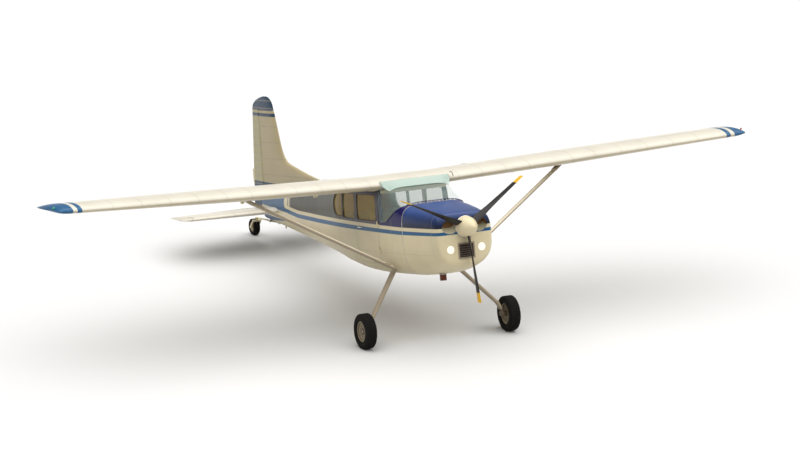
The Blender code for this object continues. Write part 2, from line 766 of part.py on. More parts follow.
def build_cabin():
    add_part("firewall", body(FIREWALL_FRONT_Y, -GAP), STEEL)
    add_part("wing_centre_section", loft([centre_ring(1), centre_ring(-1)]), CREAM)
    shell = add_part("cabin_shell", body(0.0, CABIN_REAR_Y), NAVY)
    cut(shell, body(-0.05, CABIN_REAR_Y - WALL, -WALL), "cabin_space")
    cut(shell, loft([centre_ring(1, GAP), centre_ring(-1, GAP)]), "centre_section_seat")
    cut(shell, prism(WINDSHIELD, -0.8, 0.8), "windshield_opening")
    glass = add_part("windshield", body(0.0, 1.0, -GLASS_INSET), GLASS)
    cut(glass, body(-0.05, 1.05, -GLASS_INSET - GLASS_THICKNESS), "windshield_inside")
    keep(glass, prism(shrunk_windshield(), -0.79, 0.79), "windshield_outline")
    cut(glass, loft([centre_ring(1, GAP), centre_ring(-1, GAP)]), "windshield_top")
    for side in (1, -1):
        build_side(shell, side)
    floor = add_part("cabin_floor", body(0.004, CABIN_REAR_Y - WALL - 0.004, -WALL - GAP), TRIM)
    keep(floor, box((-0.7, 0.7), (0.0, CABIN_REAR_Y), (FLOOR_TOP_Z - 0.020, FLOOR_TOP_Z)), "floor_slab")
    front, rear, bottom, top = PANEL
    panel = add_part("instrument_panel", body(0.1, 0.6, -WALL - GAP), BLACK)
    keep(panel, box((-0.7, 0.7), (front, rear), (bottom, top)), "panel_slab")


def build_side(shell, side):
    """One side's door, its window, the two windows behind it and the door's hinges."""
    wide = (0.30, 0.80)
    cut(shell, prism(rectangle(*DOOR), *wide), side_name("door_opening", side), side=side)
    cut(shell, prism(rectangle(*MID_WINDOW), *wide), side_name("mid_window_opening", side), side=side)
    cut(shell, prism(rear_window(), *wide), side_name("rear_window_opening", side), side=side)
    panes = (
        ("door_window", rectangle(*DOOR_WINDOW, -GAP), side_name("door_axis", side)),
        ("mid_window", rectangle(*MID_WINDOW, -GAP), "airframe"),
        ("rear_window", rear_window(-GAP), "airframe"),
    )
    for name, outline, frame in panes:
        pane = add_part(side_name(name, side), body(0.6, CABIN_REAR_Y, -GLASS_INSET), GLASS, frame, side)
        cut(pane, body(0.5, CABIN_REAR_Y + 0.05, -GLASS_INSET - GLASS_THICKNESS),
            side_name(name + "_inside", side), side=side)
        keep(pane, prism(outline, 0.25, 0.79), side_name(name + "_outline", side), side=side)
    front, rear, bottom, top = DOOR
    skin = body(front + RUNNING_GAP, rear - RUNNING_GAP)
    door = add_part(side_name("door", side), skin, CREAM, side_name("door_axis", side), side)
    cut(door, body(front - 0.05, rear + 0.05, -WALL), side_name("door_inside", side), side=side)
    height = prism(rectangle(front - 0.1, rear + 0.1, bottom + RUNNING_GAP, top - RUNNING_GAP), 0.25, 0.79)
    keep(door, height, side_name("door_outline", side), side=side)
    cut(door, prism(rectangle(*DOOR_WINDOW), *wide), side_name("door_window_opening", side), side=side)
    for i, height in enumerate(HINGE_HEIGHTS):
        lower = height - KNUCKLE_LENGTH - GAP
        for target, low, leaf in ((door, height, DOOR_LEAF), (shell, lower, SHELL_LEAF)):
            top = low + KNUCKLE_LENGTH
            label = side_name("%s_knuckle_%d" % (target.name, i), side)
            pin = rod((HINGE_X, HINGE_Y, low), (HINGE_X, HINGE_Y, top), KNUCKLE_RADIUS, 12)
            join(target, pin, label, side=side)
            plate = box((HINGE_X - 0.020, HINGE_X - 0.001), leaf, (low + 0.003, top - 0.003))
            join(target, plate, label + "_leaf", side=side)


def build_seats():
    inside = -WALL - 0.004
    for name, half, front, back_front, back_rear, cushion_top, back_top in SEAT_ROWS:
        bottom = FLOOR_TOP_Z + GAP
        outline = ((front, bottom), (back_rear - SEAT_LEAN, bottom), (back_rear, back_top),
                   (back_front + SEAT_LEAN, back_top), (back_front, cushion_top), (front, cushion_top))
        seat = add_part(name, prism(outline, -half, half), FABRIC)
        keep(seat, body(0.3, CABIN_REAR_Y - WALL - 0.004, inside), name + "_fit")


def build_yokes():
    for side in (1, -1):
        start, end = (YOKE_X, PANEL[1] + GAP, YOKE_Z), (YOKE_X, YOKE_REACH_Y, YOKE_Z)
        shaft = rod(start, end, YOKE_SHAFT_RADIUS, 10)
        yoke = add_part(side_name("control_yoke", side), shaft, BLACK, side=side)
        rings = []
        for i, (x, z) in enumerate(YOKE_GRIP):
            ahead = Vector(YOKE_GRIP[min(i + 1, len(YOKE_GRIP) - 1)]) - Vector(YOKE_GRIP[max(i - 1, 0)])
            across = Vector((-ahead.y, 0, ahead.x))
            centre = (YOKE_X + x, YOKE_REACH_Y, YOKE_Z + z)
            rings.append(oval(centre, across, (0, 1, 0), YOKE_GRIP_RADIUS, YOKE_GRIP_RADIUS, 8))
        join(yoke, loft(rings), side_name("yoke_grip", side), side=side)
        hub = box((YOKE_X - 0.030, YOKE_X + 0.030), (YOKE_REACH_Y - 0.020, YOKE_REACH_Y + 0.015),
                  (YOKE_Z - 0.050, YOKE_Z + 0.020))
        join(yoke, hub, side_name("yoke_hub", side), side=side)


def add_lug(target, place, side=1):
    """A tie-down lug joined to the wing or the tail cone."""
    x, y, foot, top = place
    plate = box((x, x + LUG_THICKNESS), (y - LUG_HALF_LENGTH, y + LUG_HALF_LENGTH), (foot, top))
    join(target, plate, target.name + "_lug", side=side)
    middle = foot + LUG_HOLE_RISE
    hole = rod((x - 0.01, y, middle), (x + LUG_THICKNESS + 0.01, y, middle), LUG_HOLE_RADIUS, 12)
    cut(target, hole, target.name + "_lug_hole", side=side)


def build_wing(side):
    wing = add_part(side_name("wing", side),
                    in_wing(loft([wing_ring(GAP), wing_ring(WING_RIBS[1][0]), wing_ring(WING_RIBS[2][0])])),
                    CREAM, side=side)
    cut(wing, in_wing(bay(FLAP_STATIONS, FLAP_CHORD_SHARE)), side_name("flap_bay", side), side=side)
    aileron_bay = bay(AILERON_STATIONS, AILERON_CHORD_SHARE, 0.05)
    cut(wing, in_wing(aileron_bay), side_name("aileron_bay", side), side=side)
    add_lug(wing, WING_LUG, side)
    station, lead, chord, _ = WING_RIBS[-1]
    first = tip_ring(station + GAP, lead, lead + chord, 1.0)
    tip = loft([first] + [tip_ring(*row) for row in WING_TIP])
    add_part(side_name("wing_tip", side), in_wing(tip), BLUE, side=side)

    aileron_frame = side_name("aileron_axis", side)
    aileron = add_part(side_name("aileron", side),
                       in_wing(loft([surface_ring(s, AILERON_CHORD_SHARE) for s in AILERON_STATIONS])),
                       CREAM, aileron_frame, side)
    inner, outer = aileron_axis()
    along = (outer - inner).normalized()
    slant = AILERON_PIN_RADIUS * (1 - along.x ** 2) ** 0.5
    reach = (station - slant - outer.x) / along.x
    join(aileron, in_wing(rod(outer - along * 0.03, outer + along * reach, AILERON_PIN_RADIUS, 10)),
         side_name("aileron_pin", side), side=side)

    flap_frame = side_name("flap_axis", side)
    flap = add_part(side_name("flap", side),
                    in_wing(loft([surface_ring(s, FLAP_CHORD_SHARE) for s in FLAP_STATIONS])),
                    CREAM, flap_frame, side)
    pivot = flap_axis()[0]
    for i, x in enumerate(FLAP_BRACKETS):
        fixed, moving = ([(pivot.y + y, pivot.z + z) for y, z in arm] for arm in (FIXED_ARM, MOVING_ARM))
        arm = prism(fixed, x - BRACKET_THICKNESS, x)
        join(wing, in_wing(arm), side_name("flap_bracket_%d" % i, side), side=side)
        arm = prism(moving, x + GAP, x + GAP + BRACKET_THICKNESS)
        join(flap, in_wing(arm), side_name("flap_arm_%d" % i, side), side=side)


def build_struts():
    for side in (1, -1):
        foot, head = Vector(STRUT_FOOT), Vector(STRUT_HEAD)
        along = (head - foot).normalized()
        up = along.cross(Vector((0, 1, 0))).normalized()
        chordwise = up.cross(along)
        size = (STRUT_HALF_CHORD, STRUT_HALF_THICKNESS)
        rings = [oval(point, chordwise, up, *size) for point in (foot, head)]
        strut = add_part(side_name("lift_strut", side), loft(rings), CREAM, side=side)
        cut(strut, body(0.0, 1.0, GAP), side_name("strut_foot_cut", side), side=side)
        skin = loft([wing_ring(1.0, GAP), wing_ring(WING_RIBS[1][0], GAP), wing_ring(3.5, GAP)])
        cut(strut, in_wing(skin), side_name("strut_head_cut", side), side=side)


def build_tail():
    cone = add_part("tail_cone", body(CABIN_REAR_Y + GAP, TAIL_END_Y), CREAM)
    cut(cone, body(CABIN_REAR_Y - 0.05, TAIL_HOLLOW_END_Y, -TAIL_WALL), "tail_cone_hollow")
    bearing = TORQUE_TUBE_RADIUS + BEARING_GAP
    reach = ELEVATOR[0][0]
    cut(cone, rod((-reach, ELEVATOR_HINGE_Y, STABILISER_Z), (reach, ELEVATOR_HINGE_Y, STABILISER_Z),
                  bearing / math.cos(math.pi / 20), 20), "elevator_bearing")
    bracket = box((-0.022, 0.022), (TAIL_END_Y - 0.060, RUDDER_HINGE_Y + 0.022),
                  (RUDDER_BRACKET_TOP - 0.014, RUDDER_BRACKET_TOP))
    join(cone, bracket, "rudder_bracket")
    add_lug(cone, TAIL_LUG)

    rings = [[(x, y, z) for y, x in streamlined(lead, FIN_REAR_Y, half)] for z, lead, half in FIN]
    fin = add_part("fin", loft(rings), CREAM)
    cut(fin, body(CABIN_REAR_Y, TAIL_END_Y, GAP), "fin_seat")

    main = [[(x, y, RUDDER_FOOT_Z + RUDDER_FOOT_SLOPE * (y - RUDDER_HINGE_Y))
             for y, x in nosed(RUDDER_HINGE_Y, RUDDER_FOOT_REAR_Y, 0.030)]]
    for z, radius in ((0.250, 0.030), (RUDDER_HORN[0][0] + 0.030, 0.020)):
        main.append([(x, y, z) for y, x in nosed(RUDDER_HINGE_Y, rudder_rear(z), radius)])
    rudder = add_part("rudder", loft(main), CREAM, "rudder_axis")
    horn = loft([[(x, y, z) for y, x in tapered(lead, rear, half)] for z, lead, rear, half in RUDDER_HORN])
    join(rudder, horn, "rudder_horn")
    pin_foot = RUDDER_BRACKET_TOP + GAP
    pin = rod((0, RUDDER_HINGE_Y, -0.10), (0, RUDDER_HINGE_Y, pin_foot), RUDDER_PIN_RADIUS, 12)
    join(rudder, pin, "rudder_pin")

    for side in (1, -1):
        rings = [[(x, y, STABILISER_Z + z) for y, z in streamlined(lead, ELEVATOR_HINGE_Y - 0.043, half)]
                 for x, lead, half in STABILISER]
        half = add_part(side_name("stabiliser", side), loft(rings), CREAM, side=side)
        cut(half, body(CABIN_REAR_Y, TAIL_END_Y, GAP), side_name("stabiliser_seat", side), side=side)
        rings = [[(x, y, STABILISER_Z + z) for y, z in nosed(ELEVATOR_HINGE_Y, rear, radius)]
                 for x, radius, rear in ELEVATOR]
        surface = add_part(side_name("elevator", side), loft(rings), CREAM, "elevator_axis", side)
        rings = [[(x, y, STABILISER_Z + z) for y, z in tapered(lead, rear, thick)]
                 for x, lead, rear, thick in ELEVATOR_HORN]
        join(surface, loft(rings), side_name("elevator_horn", side), side=side)
    end = reach - GAP
    tube = rod((-end, ELEVATOR_HINGE_Y, STABILISER_Z), (end, ELEVATOR_HINGE_Y, STABILISER_Z),
               TORQUE_TUBE_RADIUS, 20)
    add_part("elevator_torque_tube", tube, STEEL, "elevator_axis")


def spar_rings(table, across, points=12, squareness=2.0):
    """Rings of a bent spring or leg, each square to its own run."""
    rings = []
    for i, row in enumerate(table):
        centre = Vector(row[:3])
        ahead = Vector(table[min(i + 1, len(table) - 1)][:3]) - Vector(table[max(i - 1, 0)][:3])
        up = ahead.cross(Vector(across)).normalized()
        rings.append(oval(centre, across, up, row[3], row[4], points, squareness))
    return rings


def tyre_profile(radius, width, bore):
    """Closed (radius, height) loop, down its outer side."""
    half = width / 2
    shoulder = 0.16 * radius
    outer = [(radius - shoulder + shoulder * math.sin(t), half - shoulder + shoulder * math.cos(t))
             for t in (math.radians(a) for a in (0, 30, 60, 90))]
    lower = [(r, -h) for r, h in reversed(outer)]
    bead = [(bore, half * 0.72), (bore + 0.2 * shoulder, half)]
    return bead + outer + lower + [(r, -h) for r, h in reversed(bead)]


def build_gear():
    for side in (1, -1):
        spring = loft(spar_rings(GEAR_LEG, (0, 1, 0), squareness=LEG_SQUARENESS))
        leg = add_part(side_name("gear_leg", side), spring, CREAM, side=side)
        cut(leg, body(-0.2, 1.0, GAP), side_name("leg_seat", side), side=side)
        x, y, z = MAIN_AXLE
        axle = rod((AXLE_ROOT_X, y, z), (x + AXLE_OVERRUN, y, z), AXLE_RADIUS, 16)
        join(leg, axle, side_name("axle", side), side=side)
        frame = side_name("main_wheel_axis", side)
        turn = Matrix.Translation((side * x, y, z)) @ Matrix.Rotation(math.radians(90 * side), 4, "Y")
        profile = tyre_profile(MAIN_TYRE_RADIUS, MAIN_TYRE_WIDTH, MAIN_HUB_RADIUS + GAP)
        turned(side_name("main_tyre", side), profile, RUBBER, frame, 32, turn)
        profile = hub_profile(MAIN_HUB_RADIUS, MAIN_HUB_WIDTH / 2, AXLE_RADIUS + BEARING_GAP,
                              AXLE_OVERRUN + BEARING_GAP)
        turned(side_name("main_hub", side), profile, HUB, frame, 32, turn)
    spring = add_part("tail_spring", loft(spar_rings(TAIL_SPRING, (1, 0, 0), 8)), STEEL)
    cut(spring, body(CABIN_REAR_Y, TAIL_END_Y, GAP), "spring_seat")
    upright = Matrix.Translation(KINGPIN_TOP) @ Matrix.Rotation(ATTITUDE, 4, "X")
    cut(spring, moved(box((-0.04, 0.04), (-0.03, 0.06), (-0.03, 0.0)), upright), "kingpin_seat")
    build_tail_wheel()


def hub_profile(radius, half, bore, end):
    """A dished hub with a blind bore from its inner side; its outer face is at +half."""
    dish = [(0, half * 0.9), (radius * 0.30, half * 0.9), (radius * 0.38, half * 0.35),
            (radius * 0.80, half * 0.45), (radius, half)]
    return dish + [(radius, -half), (bore, -half), (bore, end), (0, end)]


def build_tail_wheel():
    x, y, z = TAIL_AXLE
    upright = Matrix.Translation(KINGPIN_TOP) @ Matrix.Rotation(ATTITUDE, 4, "X")
    axle = upright.inverted() @ Vector(TAIL_AXLE)
    arm_x = TAIL_TYRE_WIDTH / 2 + FORK_ARM_CLEARANCE + FORK_ARM_THICKNESS / 2
    thick = FORK_ARM_THICKNESS / 2
    crown_bottom, crown_top = FORK_CROWN
    head = rod((0, 0, -GAP), (0, 0, (crown_bottom + crown_top) / 2), KINGPIN_RADIUS, 14)
    fork = add_part("tail_wheel_fork", moved(head, upright), CREAM, "tail_swivel_axis")
    crown = box((-arm_x, arm_x), (-FORK_HALF_DEPTH, FORK_HALF_DEPTH), FORK_CROWN)
    join(fork, moved(crown, upright), "fork_crown", "tail_swivel_axis")
    for side in (1, -1):
        shoulder = crown_top + 0.002
        outline = ((-FORK_HALF_DEPTH - 0.003, shoulder), (FORK_HALF_DEPTH + 0.003, shoulder),
                   (axle.y + 0.020, axle.z + 0.004), (axle.y + 0.012, axle.z - 0.018),
                   (axle.y - 0.016, axle.z - 0.014))
        arm = prism(outline, arm_x - thick, arm_x + thick)
        join(fork, moved(arm, upright), side_name("fork_arm", side), "tail_swivel_axis", side)
    pin = rod((-arm_x, y, z), (arm_x, y, z), TAIL_AXLE_RADIUS, 12)
    join(fork, pin, "tail_axle", "tail_swivel_axis")
    turn = Matrix.Translation(TAIL_AXLE) @ Matrix.Rotation(math.radians(90), 4, "Y")
    turned("tail_tyre", tyre_profile(TAIL_TYRE_RADIUS, TAIL_TYRE_WIDTH, TAIL_HUB_RADIUS + GAP),
           RUBBER, "tail_wheel_axis", 28, turn)
    half = TAIL_TYRE_WIDTH * 0.40
    bore = TAIL_AXLE_RADIUS + BEARING_GAP
    steps = ((0.40, 1.0), (0.50, 0.6), (0.85, 0.6), (1.0, 1.0))
    outer = [(TAIL_HUB_RADIUS * share, half * height) for share, height in steps]
    inner = [(radius, -height) for radius, height in reversed(outer)]
    turned("tail_hub", [(bore, half)] + outer + inner + [(bore, -half)], HUB, "tail_wheel_axis", 28, turn)


def build_propeller():
    turns = [math.pi / 2 * i / SPINNER_RINGS for i in range(SPINNER_RINGS)]
    profile = [(SPINNER_RADIUS * math.sin(t) ** SPINNER_POINTEDNESS, SPINNER_LENGTH * math.cos(t))
               for t in turns]
    profile.append((SPINNER_RADIUS, 0.0))
    turn = Matrix.Translation((0, SPINNER_REAR_Y, 0)) @ Matrix.Rotation(math.radians(90), 4, "X")
    turned("spinner", profile + [(0, 0)], CREAM, "propeller_axis", SPINNER_SIDES, turn)
    for number, angle in enumerate(BLADE_ANGLES, 1):
        turn = math.radians(angle)
        out = Vector((math.cos(turn), 0, math.sin(turn)))
        side = Vector((-math.sin(turn), 0, math.cos(turn)))
        rings = []
        for radius, chord, half, pitch in BLADE:
            tilt = math.radians(pitch)
            flat = side * math.cos(tilt) + Vector((0, math.sin(tilt), 0))
            centre = out * radius + Vector((0, PROP_Y, 0))
            rings.append(oval(centre, flat, flat.cross(out), chord / 2, half))
        blade = add_part("blade_%d" % number, loft(rings), BLACK, "propeller_axis")
        envelope = [oval((0, SPINNER_REAR_Y - height, 0), (1, 0, 0), (0, 0, 1), radius + GAP, radius + GAP,
                         SPINNER_SIDES) for radius, height in profile[1:] + [(SPINNER_RADIUS, -0.05)]]
        cut(blade, loft(envelope), "spinner_seat_%d" % number, "propeller_axis")


build_frames()
build_cowling()
build_grille()
build_engine()
build_cabin()
build_seats()
build_yokes()
for wing_side in (1, -1):
    build_wing(wing_side)
build_struts()
build_tail()
build_gear()
build_propeller()
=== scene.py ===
"""The looks of a light aircraft: paint, glass, cabin trim, tyres and fittings.

Shapes are laid out as the airframe flies level: X to port, Y aft of the firewall, Z above the
propeller's axis, in metres. One matrix then pitches them nose-up as the aircraft stands.
"""
import math

import bmesh
import bpy
from mathutils import Matrix, Vector


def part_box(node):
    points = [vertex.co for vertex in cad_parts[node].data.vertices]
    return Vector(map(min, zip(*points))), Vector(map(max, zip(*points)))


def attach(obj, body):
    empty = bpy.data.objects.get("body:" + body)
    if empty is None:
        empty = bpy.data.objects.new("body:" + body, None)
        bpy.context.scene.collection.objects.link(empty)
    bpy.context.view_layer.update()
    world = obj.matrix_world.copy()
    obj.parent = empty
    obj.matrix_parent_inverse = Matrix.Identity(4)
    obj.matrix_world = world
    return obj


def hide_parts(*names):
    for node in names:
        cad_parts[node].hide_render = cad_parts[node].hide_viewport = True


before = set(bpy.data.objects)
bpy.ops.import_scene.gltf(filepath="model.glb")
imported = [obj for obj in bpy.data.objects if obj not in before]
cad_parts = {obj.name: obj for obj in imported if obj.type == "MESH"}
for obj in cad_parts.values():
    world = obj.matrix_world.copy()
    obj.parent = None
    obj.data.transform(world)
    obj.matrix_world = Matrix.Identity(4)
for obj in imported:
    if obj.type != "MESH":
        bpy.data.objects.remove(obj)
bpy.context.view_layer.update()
SIDES = ((1, "left"), (-1, "right"))

# Places taken from the frame
MAIN_AXLE = Vector((1.137, 0.217, -1.433))
TAIL_AXLE = Vector((0.000, 6.590, -0.328))


def centre_of(node):
    low, high = (Vector(corner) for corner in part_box(node))
    return (low + high) / 2


def slope(run):
    return math.atan2(run.z, run.y)


def stand(place, degrees, axis):
    """A place with a turn about one axis."""
    return Matrix.Translation(place) @ Matrix.Rotation(math.radians(degrees), 4, axis)


MAIN_WHEEL = centre_of("main_tyre_left")
TAIL_WHEEL = centre_of("tail_tyre")
PITCH = slope(TAIL_WHEEL - MAIN_WHEEL) - slope(TAIL_AXLE - MAIN_AXLE)
AIRFRAME = Matrix.Translation(MAIN_WHEEL) @ Matrix.Rotation(PITCH, 4, "X") @ Matrix.Translation(-MAIN_AXLE)
LEVEL = AIRFRAME.inverted()

# Fuselage. Columns: y, half width, height of the widest line, top, bottom, squareness above, below
BODY = (
    (-0.965, 0.385, -0.165, 0.150, -0.520, 3.4, 2.5),
    (-0.930, 0.425, -0.160, 0.185, -0.560, 3.8, 2.6),
    (-0.850, 0.446, -0.152, 0.212, -0.600, 4.2, 2.5),
    (-0.600, 0.480, -0.135, 0.245, -0.665, 4.5, 2.6),
    (-0.300, 0.515, -0.120, 0.280, -0.705, 4.5, 2.9),
    (0.000, 0.540, -0.110, 0.315, -0.725, 4.5, 3.4),
    (0.300, 0.555, -0.100, 0.450, -0.730, 5.0, 3.6),
    (0.600, 0.565, -0.100, 0.578, -0.730, 6.0, 3.8),
    (1.000, 0.567, -0.100, 0.620, -0.730, 7.0, 4.0),
    (1.600, 0.560, -0.090, 0.590, -0.700, 7.0, 4.0),
    (2.230, 0.525, -0.070, 0.545, -0.632, 5.5, 3.6),
    (2.550, 0.490, -0.050, 0.520, -0.593, 4.2, 3.2),
    (3.600, 0.367, -0.005, 0.450, -0.457, 3.0, 3.0),
    (4.800, 0.227, 0.035, 0.345, -0.313, 2.8, 2.8),
    (6.100, 0.080, 0.045, 0.240, -0.160, 2.6, 2.6),
)
NOSE_Y = -0.965
CABIN_REAR_Y = 2.550
TAIL_END_Y = 6.005
RING_POINTS = 96
WALL = 0.028

# Openings, as in the solids
WINDSHIELD = ((0.012, 0.300), (0.040, 0.300), (0.465, 0.058), (0.725, 0.045),
              (0.740, 0.450), (0.740, 0.800), (0.012, 0.800))
DOOR = (0.765, 1.515, -0.560, 0.455)
DOOR_WINDOW = (0.815, 1.465, 0.060, 0.425)
MID_WINDOW = (1.555, 2.020, 0.065, 0.425)
REAR_WINDOW = (2.058, 2.420, 0.080, 0.415)
REAR_WINDOW_ROUND = 0.150
WINDOW_ROUND = 0.035

# Wing. Columns: station outboard of the root rib, leading edge y, chord, incidence in degrees
WING_RIBS = (
    (0.000, 0.600, 1.630, 1.5),
    (1.981, 0.600, 1.630, 1.5),
    (4.722, 0.700, 1.100, -1.5),
)
WING_ROOT_X = 0.560
WING_ROOT_Z = 0.570
WING_FRAME = stand((WING_ROOT_X, 0, WING_ROOT_Z), -1.73, "Y")
FLAP_STATIONS = (0.070, 1.950)
FLAP_SHARE = 0.24
AILERON_STATIONS = (1.975, 4.715)
AILERON_SHARE = 0.20
SLOT_GAP = 0.006
BAY_GAP = 0.0075          # ahead of a control surface's round nose

# Paint
CREAM = (0.61, 0.53, 0.345)
WING_CREAM = (0.575, 0.540, 0.460)
# Darker cream for the wing's underside: painted shade
WING_UNDER_PAINTED_SHADE = (0.50, 0.44, 0.32)
# Lighter cream along the strut's top: a painted highlight
STRUT_TOP_HIGHLIGHT = (0.74, 0.67, 0.52)
FIN_CREAM = (0.375, 0.312, 0.185)
RUDDER_CREAM = (0.350, 0.315, 0.175)
GEAR_TAN = (0.340, 0.280, 0.200)
BLUE = (0.012, 0.085, 0.195)
FIN_BLUE = (0.009, 0.038, 0.080)
NAVY = (0.004, 0.003, 0.070)
# The cowl's navy is lighter on top and darker down its sides: painted light on the top, painted shade on the
# sides
COWL_TOP_PAINTED_LIGHT = (0.026, 0.060, 0.200)
COWL_SIDE_PAINTED_SHADE = (0.003, 0.009, 0.034)
# Navy with a painted reflection and painted shade in it: mauve by the windows, slate further aft
MAUVE_PAINTED_REFLECTION = (0.052, 0.042, 0.062)
SLATE_PAINTED_SHADE_AND_REFLECTION = (0.032, 0.033, 0.022)
SEAM = (0.30, 0.26, 0.20)
DIRT = (0.18, 0.15, 0.10)
GLASS_TINT = (0.48, 0.62, 0.58)
GLOSS = {"Specular_IOR_Level": 0.14, "Coat_Weight": 0.06, "Coat_Roughness": 0.06}


# Shader graphs
class Wire:
    """A node's output, to be added and multiplied like a number. | is the larger, & the smaller."""

    def __init__(self, graph, socket):
        self.graph = graph
        self.socket = socket

    def __add__(self, other):
        return self.graph.math("ADD", self, other)

    def __sub__(self, other):
        return self.graph.math("SUBTRACT", self, other)

    def __rsub__(self, other):
        return self.graph.math("SUBTRACT", other, self)

    def __mul__(self, other):
        return self.graph.math("MULTIPLY", self, other)

    def __or__(self, other):
        return self.graph.math("MAXIMUM", self, other)

    def __and__(self, other):
        return self.graph.math("MINIMUM", self, other)


class Graph:
    """A material's node tree, with short calls for its sums."""

    def __init__(self, name, roughness=0.4, metallic=0.0, **sockets):
        self.material = bpy.data.materials.new(name)
        self.material.use_nodes = True
        self.tree = self.material.node_tree
        self.shader = self.tree.nodes["Principled BSDF"]
        self.set("Roughness", roughness)
        self.set("Metallic", metallic)
        for socket, value in sockets.items():
            self.set(socket.replace("_", " "), value)

    def set(self, socket, value):
        self.feed(self.shader.inputs[socket], value)

    def feed(self, socket, value):
        """Gives an input a constant or another node's output."""
        if isinstance(value, Wire):
            self.tree.links.new(value.socket, socket)
        else:
            socket.default_value = (*value, 1) if isinstance(value, tuple) else value

    def node(self, kind, inputs, output=0, **settings):
        node = self.tree.nodes.new("ShaderNode" + kind)
        for name, value in settings.items():
            setattr(node, name, value)
        for key, value in inputs.items():
            self.feed(node.inputs[key], value)
        return Wire(self, node.outputs[output])

    def math(self, operation, *values):
        return self.node("Math", dict(enumerate(values)), operation=operation)

    def place(self):
        """x, y and z in the level airframe."""
        where = self.node("TexCoord", {}, "Object")
        self.level = self.node("Mapping", {"Vector": where, "Location": LEVEL.to_translation(),
                                           "Rotation": LEVEL.to_euler()})
        split = self.node("SeparateXYZ", {0: self.level}).socket.node
        return [Wire(self, socket) for socket in split.outputs]

    def above(self, value, edge, soft=0.002):
        """1 where the value is over the edge, 0 under it."""
        return self.node("MapRange", {0: value - edge, 1: -soft, 2: soft})

    def between(self, value, low, high, soft=0.002):
        return self.above(value, low, soft) * (1.0 - self.above(value, high, soft))

    def curve(self, value, points):
        """Straight runs through (in, out) points."""
        start, end = points[0][0], points[-1][0]
        low = min(out for _, out in points)
        high = max(out for _, out in points)
        ramp = self.node("ValToRGB", {0: self.node("MapRange", {0: value, 1: start, 2: end})})
        elements = ramp.socket.node.color_ramp.elements
        while len(elements) < len(points):
            elements.new(0.5)
        for element, (at, _) in zip(list(elements), points):
            element.position = (at - start) / (end - start)
        for element, (_, out) in zip(list(elements), points):
            share = (out - low) / (high - low)
            element.color = (share, share, share, 1)
        return ramp * (high - low) + low

    def mix(self, share, first, second):
        return self.node("Mix", {0: share, 6: first, 7: second}, 2, data_type="RGBA")

    def noise(self, scale, detail=3.0):
        return self.node("TexNoise", {"Scale": scale, "Detail": detail, "Vector": self.level})

    def bump(self, height, depth):
        self.set("Normal", self.node("Bump", {"Distance": depth, "Strength": 1.0, "Height": height}))

    def groove(self, value, places, half=0.003):
        """1 in a fine line at each of several values."""
        total = None
        for at in places:
            line = self.between(value, at - half, at + half, 0.0015)
            total = total | line if total else line
        return total

    def rows(self, value, pitch, half):
        """1 in a fine line at every multiple of a pitch."""
        return 1.0 - self.above(self.math("PINGPONG", value, pitch / 2), half, half / 2)

    def weathered(self, colour):
        """Paint with faint clouding and dirt over it."""
        cloud = self.noise(2.3, 5.0) * 0.40 + -0.17
        self.set("Base Color", self.mix(self.noise(38.0, 2.0) * 0.04 + (cloud | 0.0), colour, DIRT))


# Livery, in level airframe coordinates
STRIPE_LOW = ((-0.97, -0.100), (0.08, -0.110), (1.03, -0.098), (2.10, -0.088), (3.20, -0.082),
              (4.20, -0.069), (4.60, -0.039), (4.80, -0.020), (6.50, 0.080))
BLUE_BAND = ((-0.97, 0.047), (0.10, 0.056), (2.10, 0.062), (4.60, 0.062), (6.50, 0.062))
NAVY_TOP = ((-0.97, 0.900), (2.20, 0.900), (2.75, 0.560), (3.60, 0.360), (4.60, 0.225), (6.50, 0.100))
CREAM_BAND = 0.052
NAVY_END_Y = 4.600
NAVY_ROUND = 0.08
FIREWALL_Y = -0.012
BAR_PLACES = (4.650, 4.735)
BAR_HALF = 0.014
BAR_LEAN = 0.12
CREAM_END_Y = 4.900
WEDGE_START_Y = 4.85
WEDGE_LOW = ((4.20, -0.300), (4.85, -0.150), (5.89, -0.185), (6.50, -0.190))
WEDGE_HIGH = ((4.20, -0.300), (4.85, -0.150), (6.09, -0.085), (6.50, -0.060))
PANEL_SEAMS = (-0.800, -0.012, 0.330, 0.755, 1.525, 2.535, 3.200, 3.900, 4.600, 5.300)
BELLY_SEAM_Z = -0.385
# Aft of here the navy gives way to painted reflection and painted shade
SLATE_START_Y = 0.700
# Across this band the cowl's painted shade turns into its painted light
COWL_SHADE = (0.130, 0.110)          # middle and half width of the change from side to top
RIVET_PITCH = 0.040
RIVET_HALF = 0.004
PAINT_ROUGHNESS = 0.30
FIN_CAP_Z = 1.467
FIN_STRIPE_Z = (1.372, 1.422)
FIN_BASE = ((3.60, 0.330), (5.00, 0.350), (6.60, 0.395))
FIN_SEAMS = (0.490, 0.735, 0.980, 1.225)
FIN_SEAMS_Y = (5.640, 5.960)
RUDDER_BEAD_PITCH = 0.115
RUDDER_SEAM_Y = 6.100
TIP_STRIPES = (5.110, 5.180, 5.245)
WING_SEAMS = (0.70, 1.08, 1.46, 1.84, 2.54, 2.92, 3.35, 3.78, 4.21, 4.64)
SKIN_SEAM_Y = 1.020
BLADE_TIP_START = 0.955


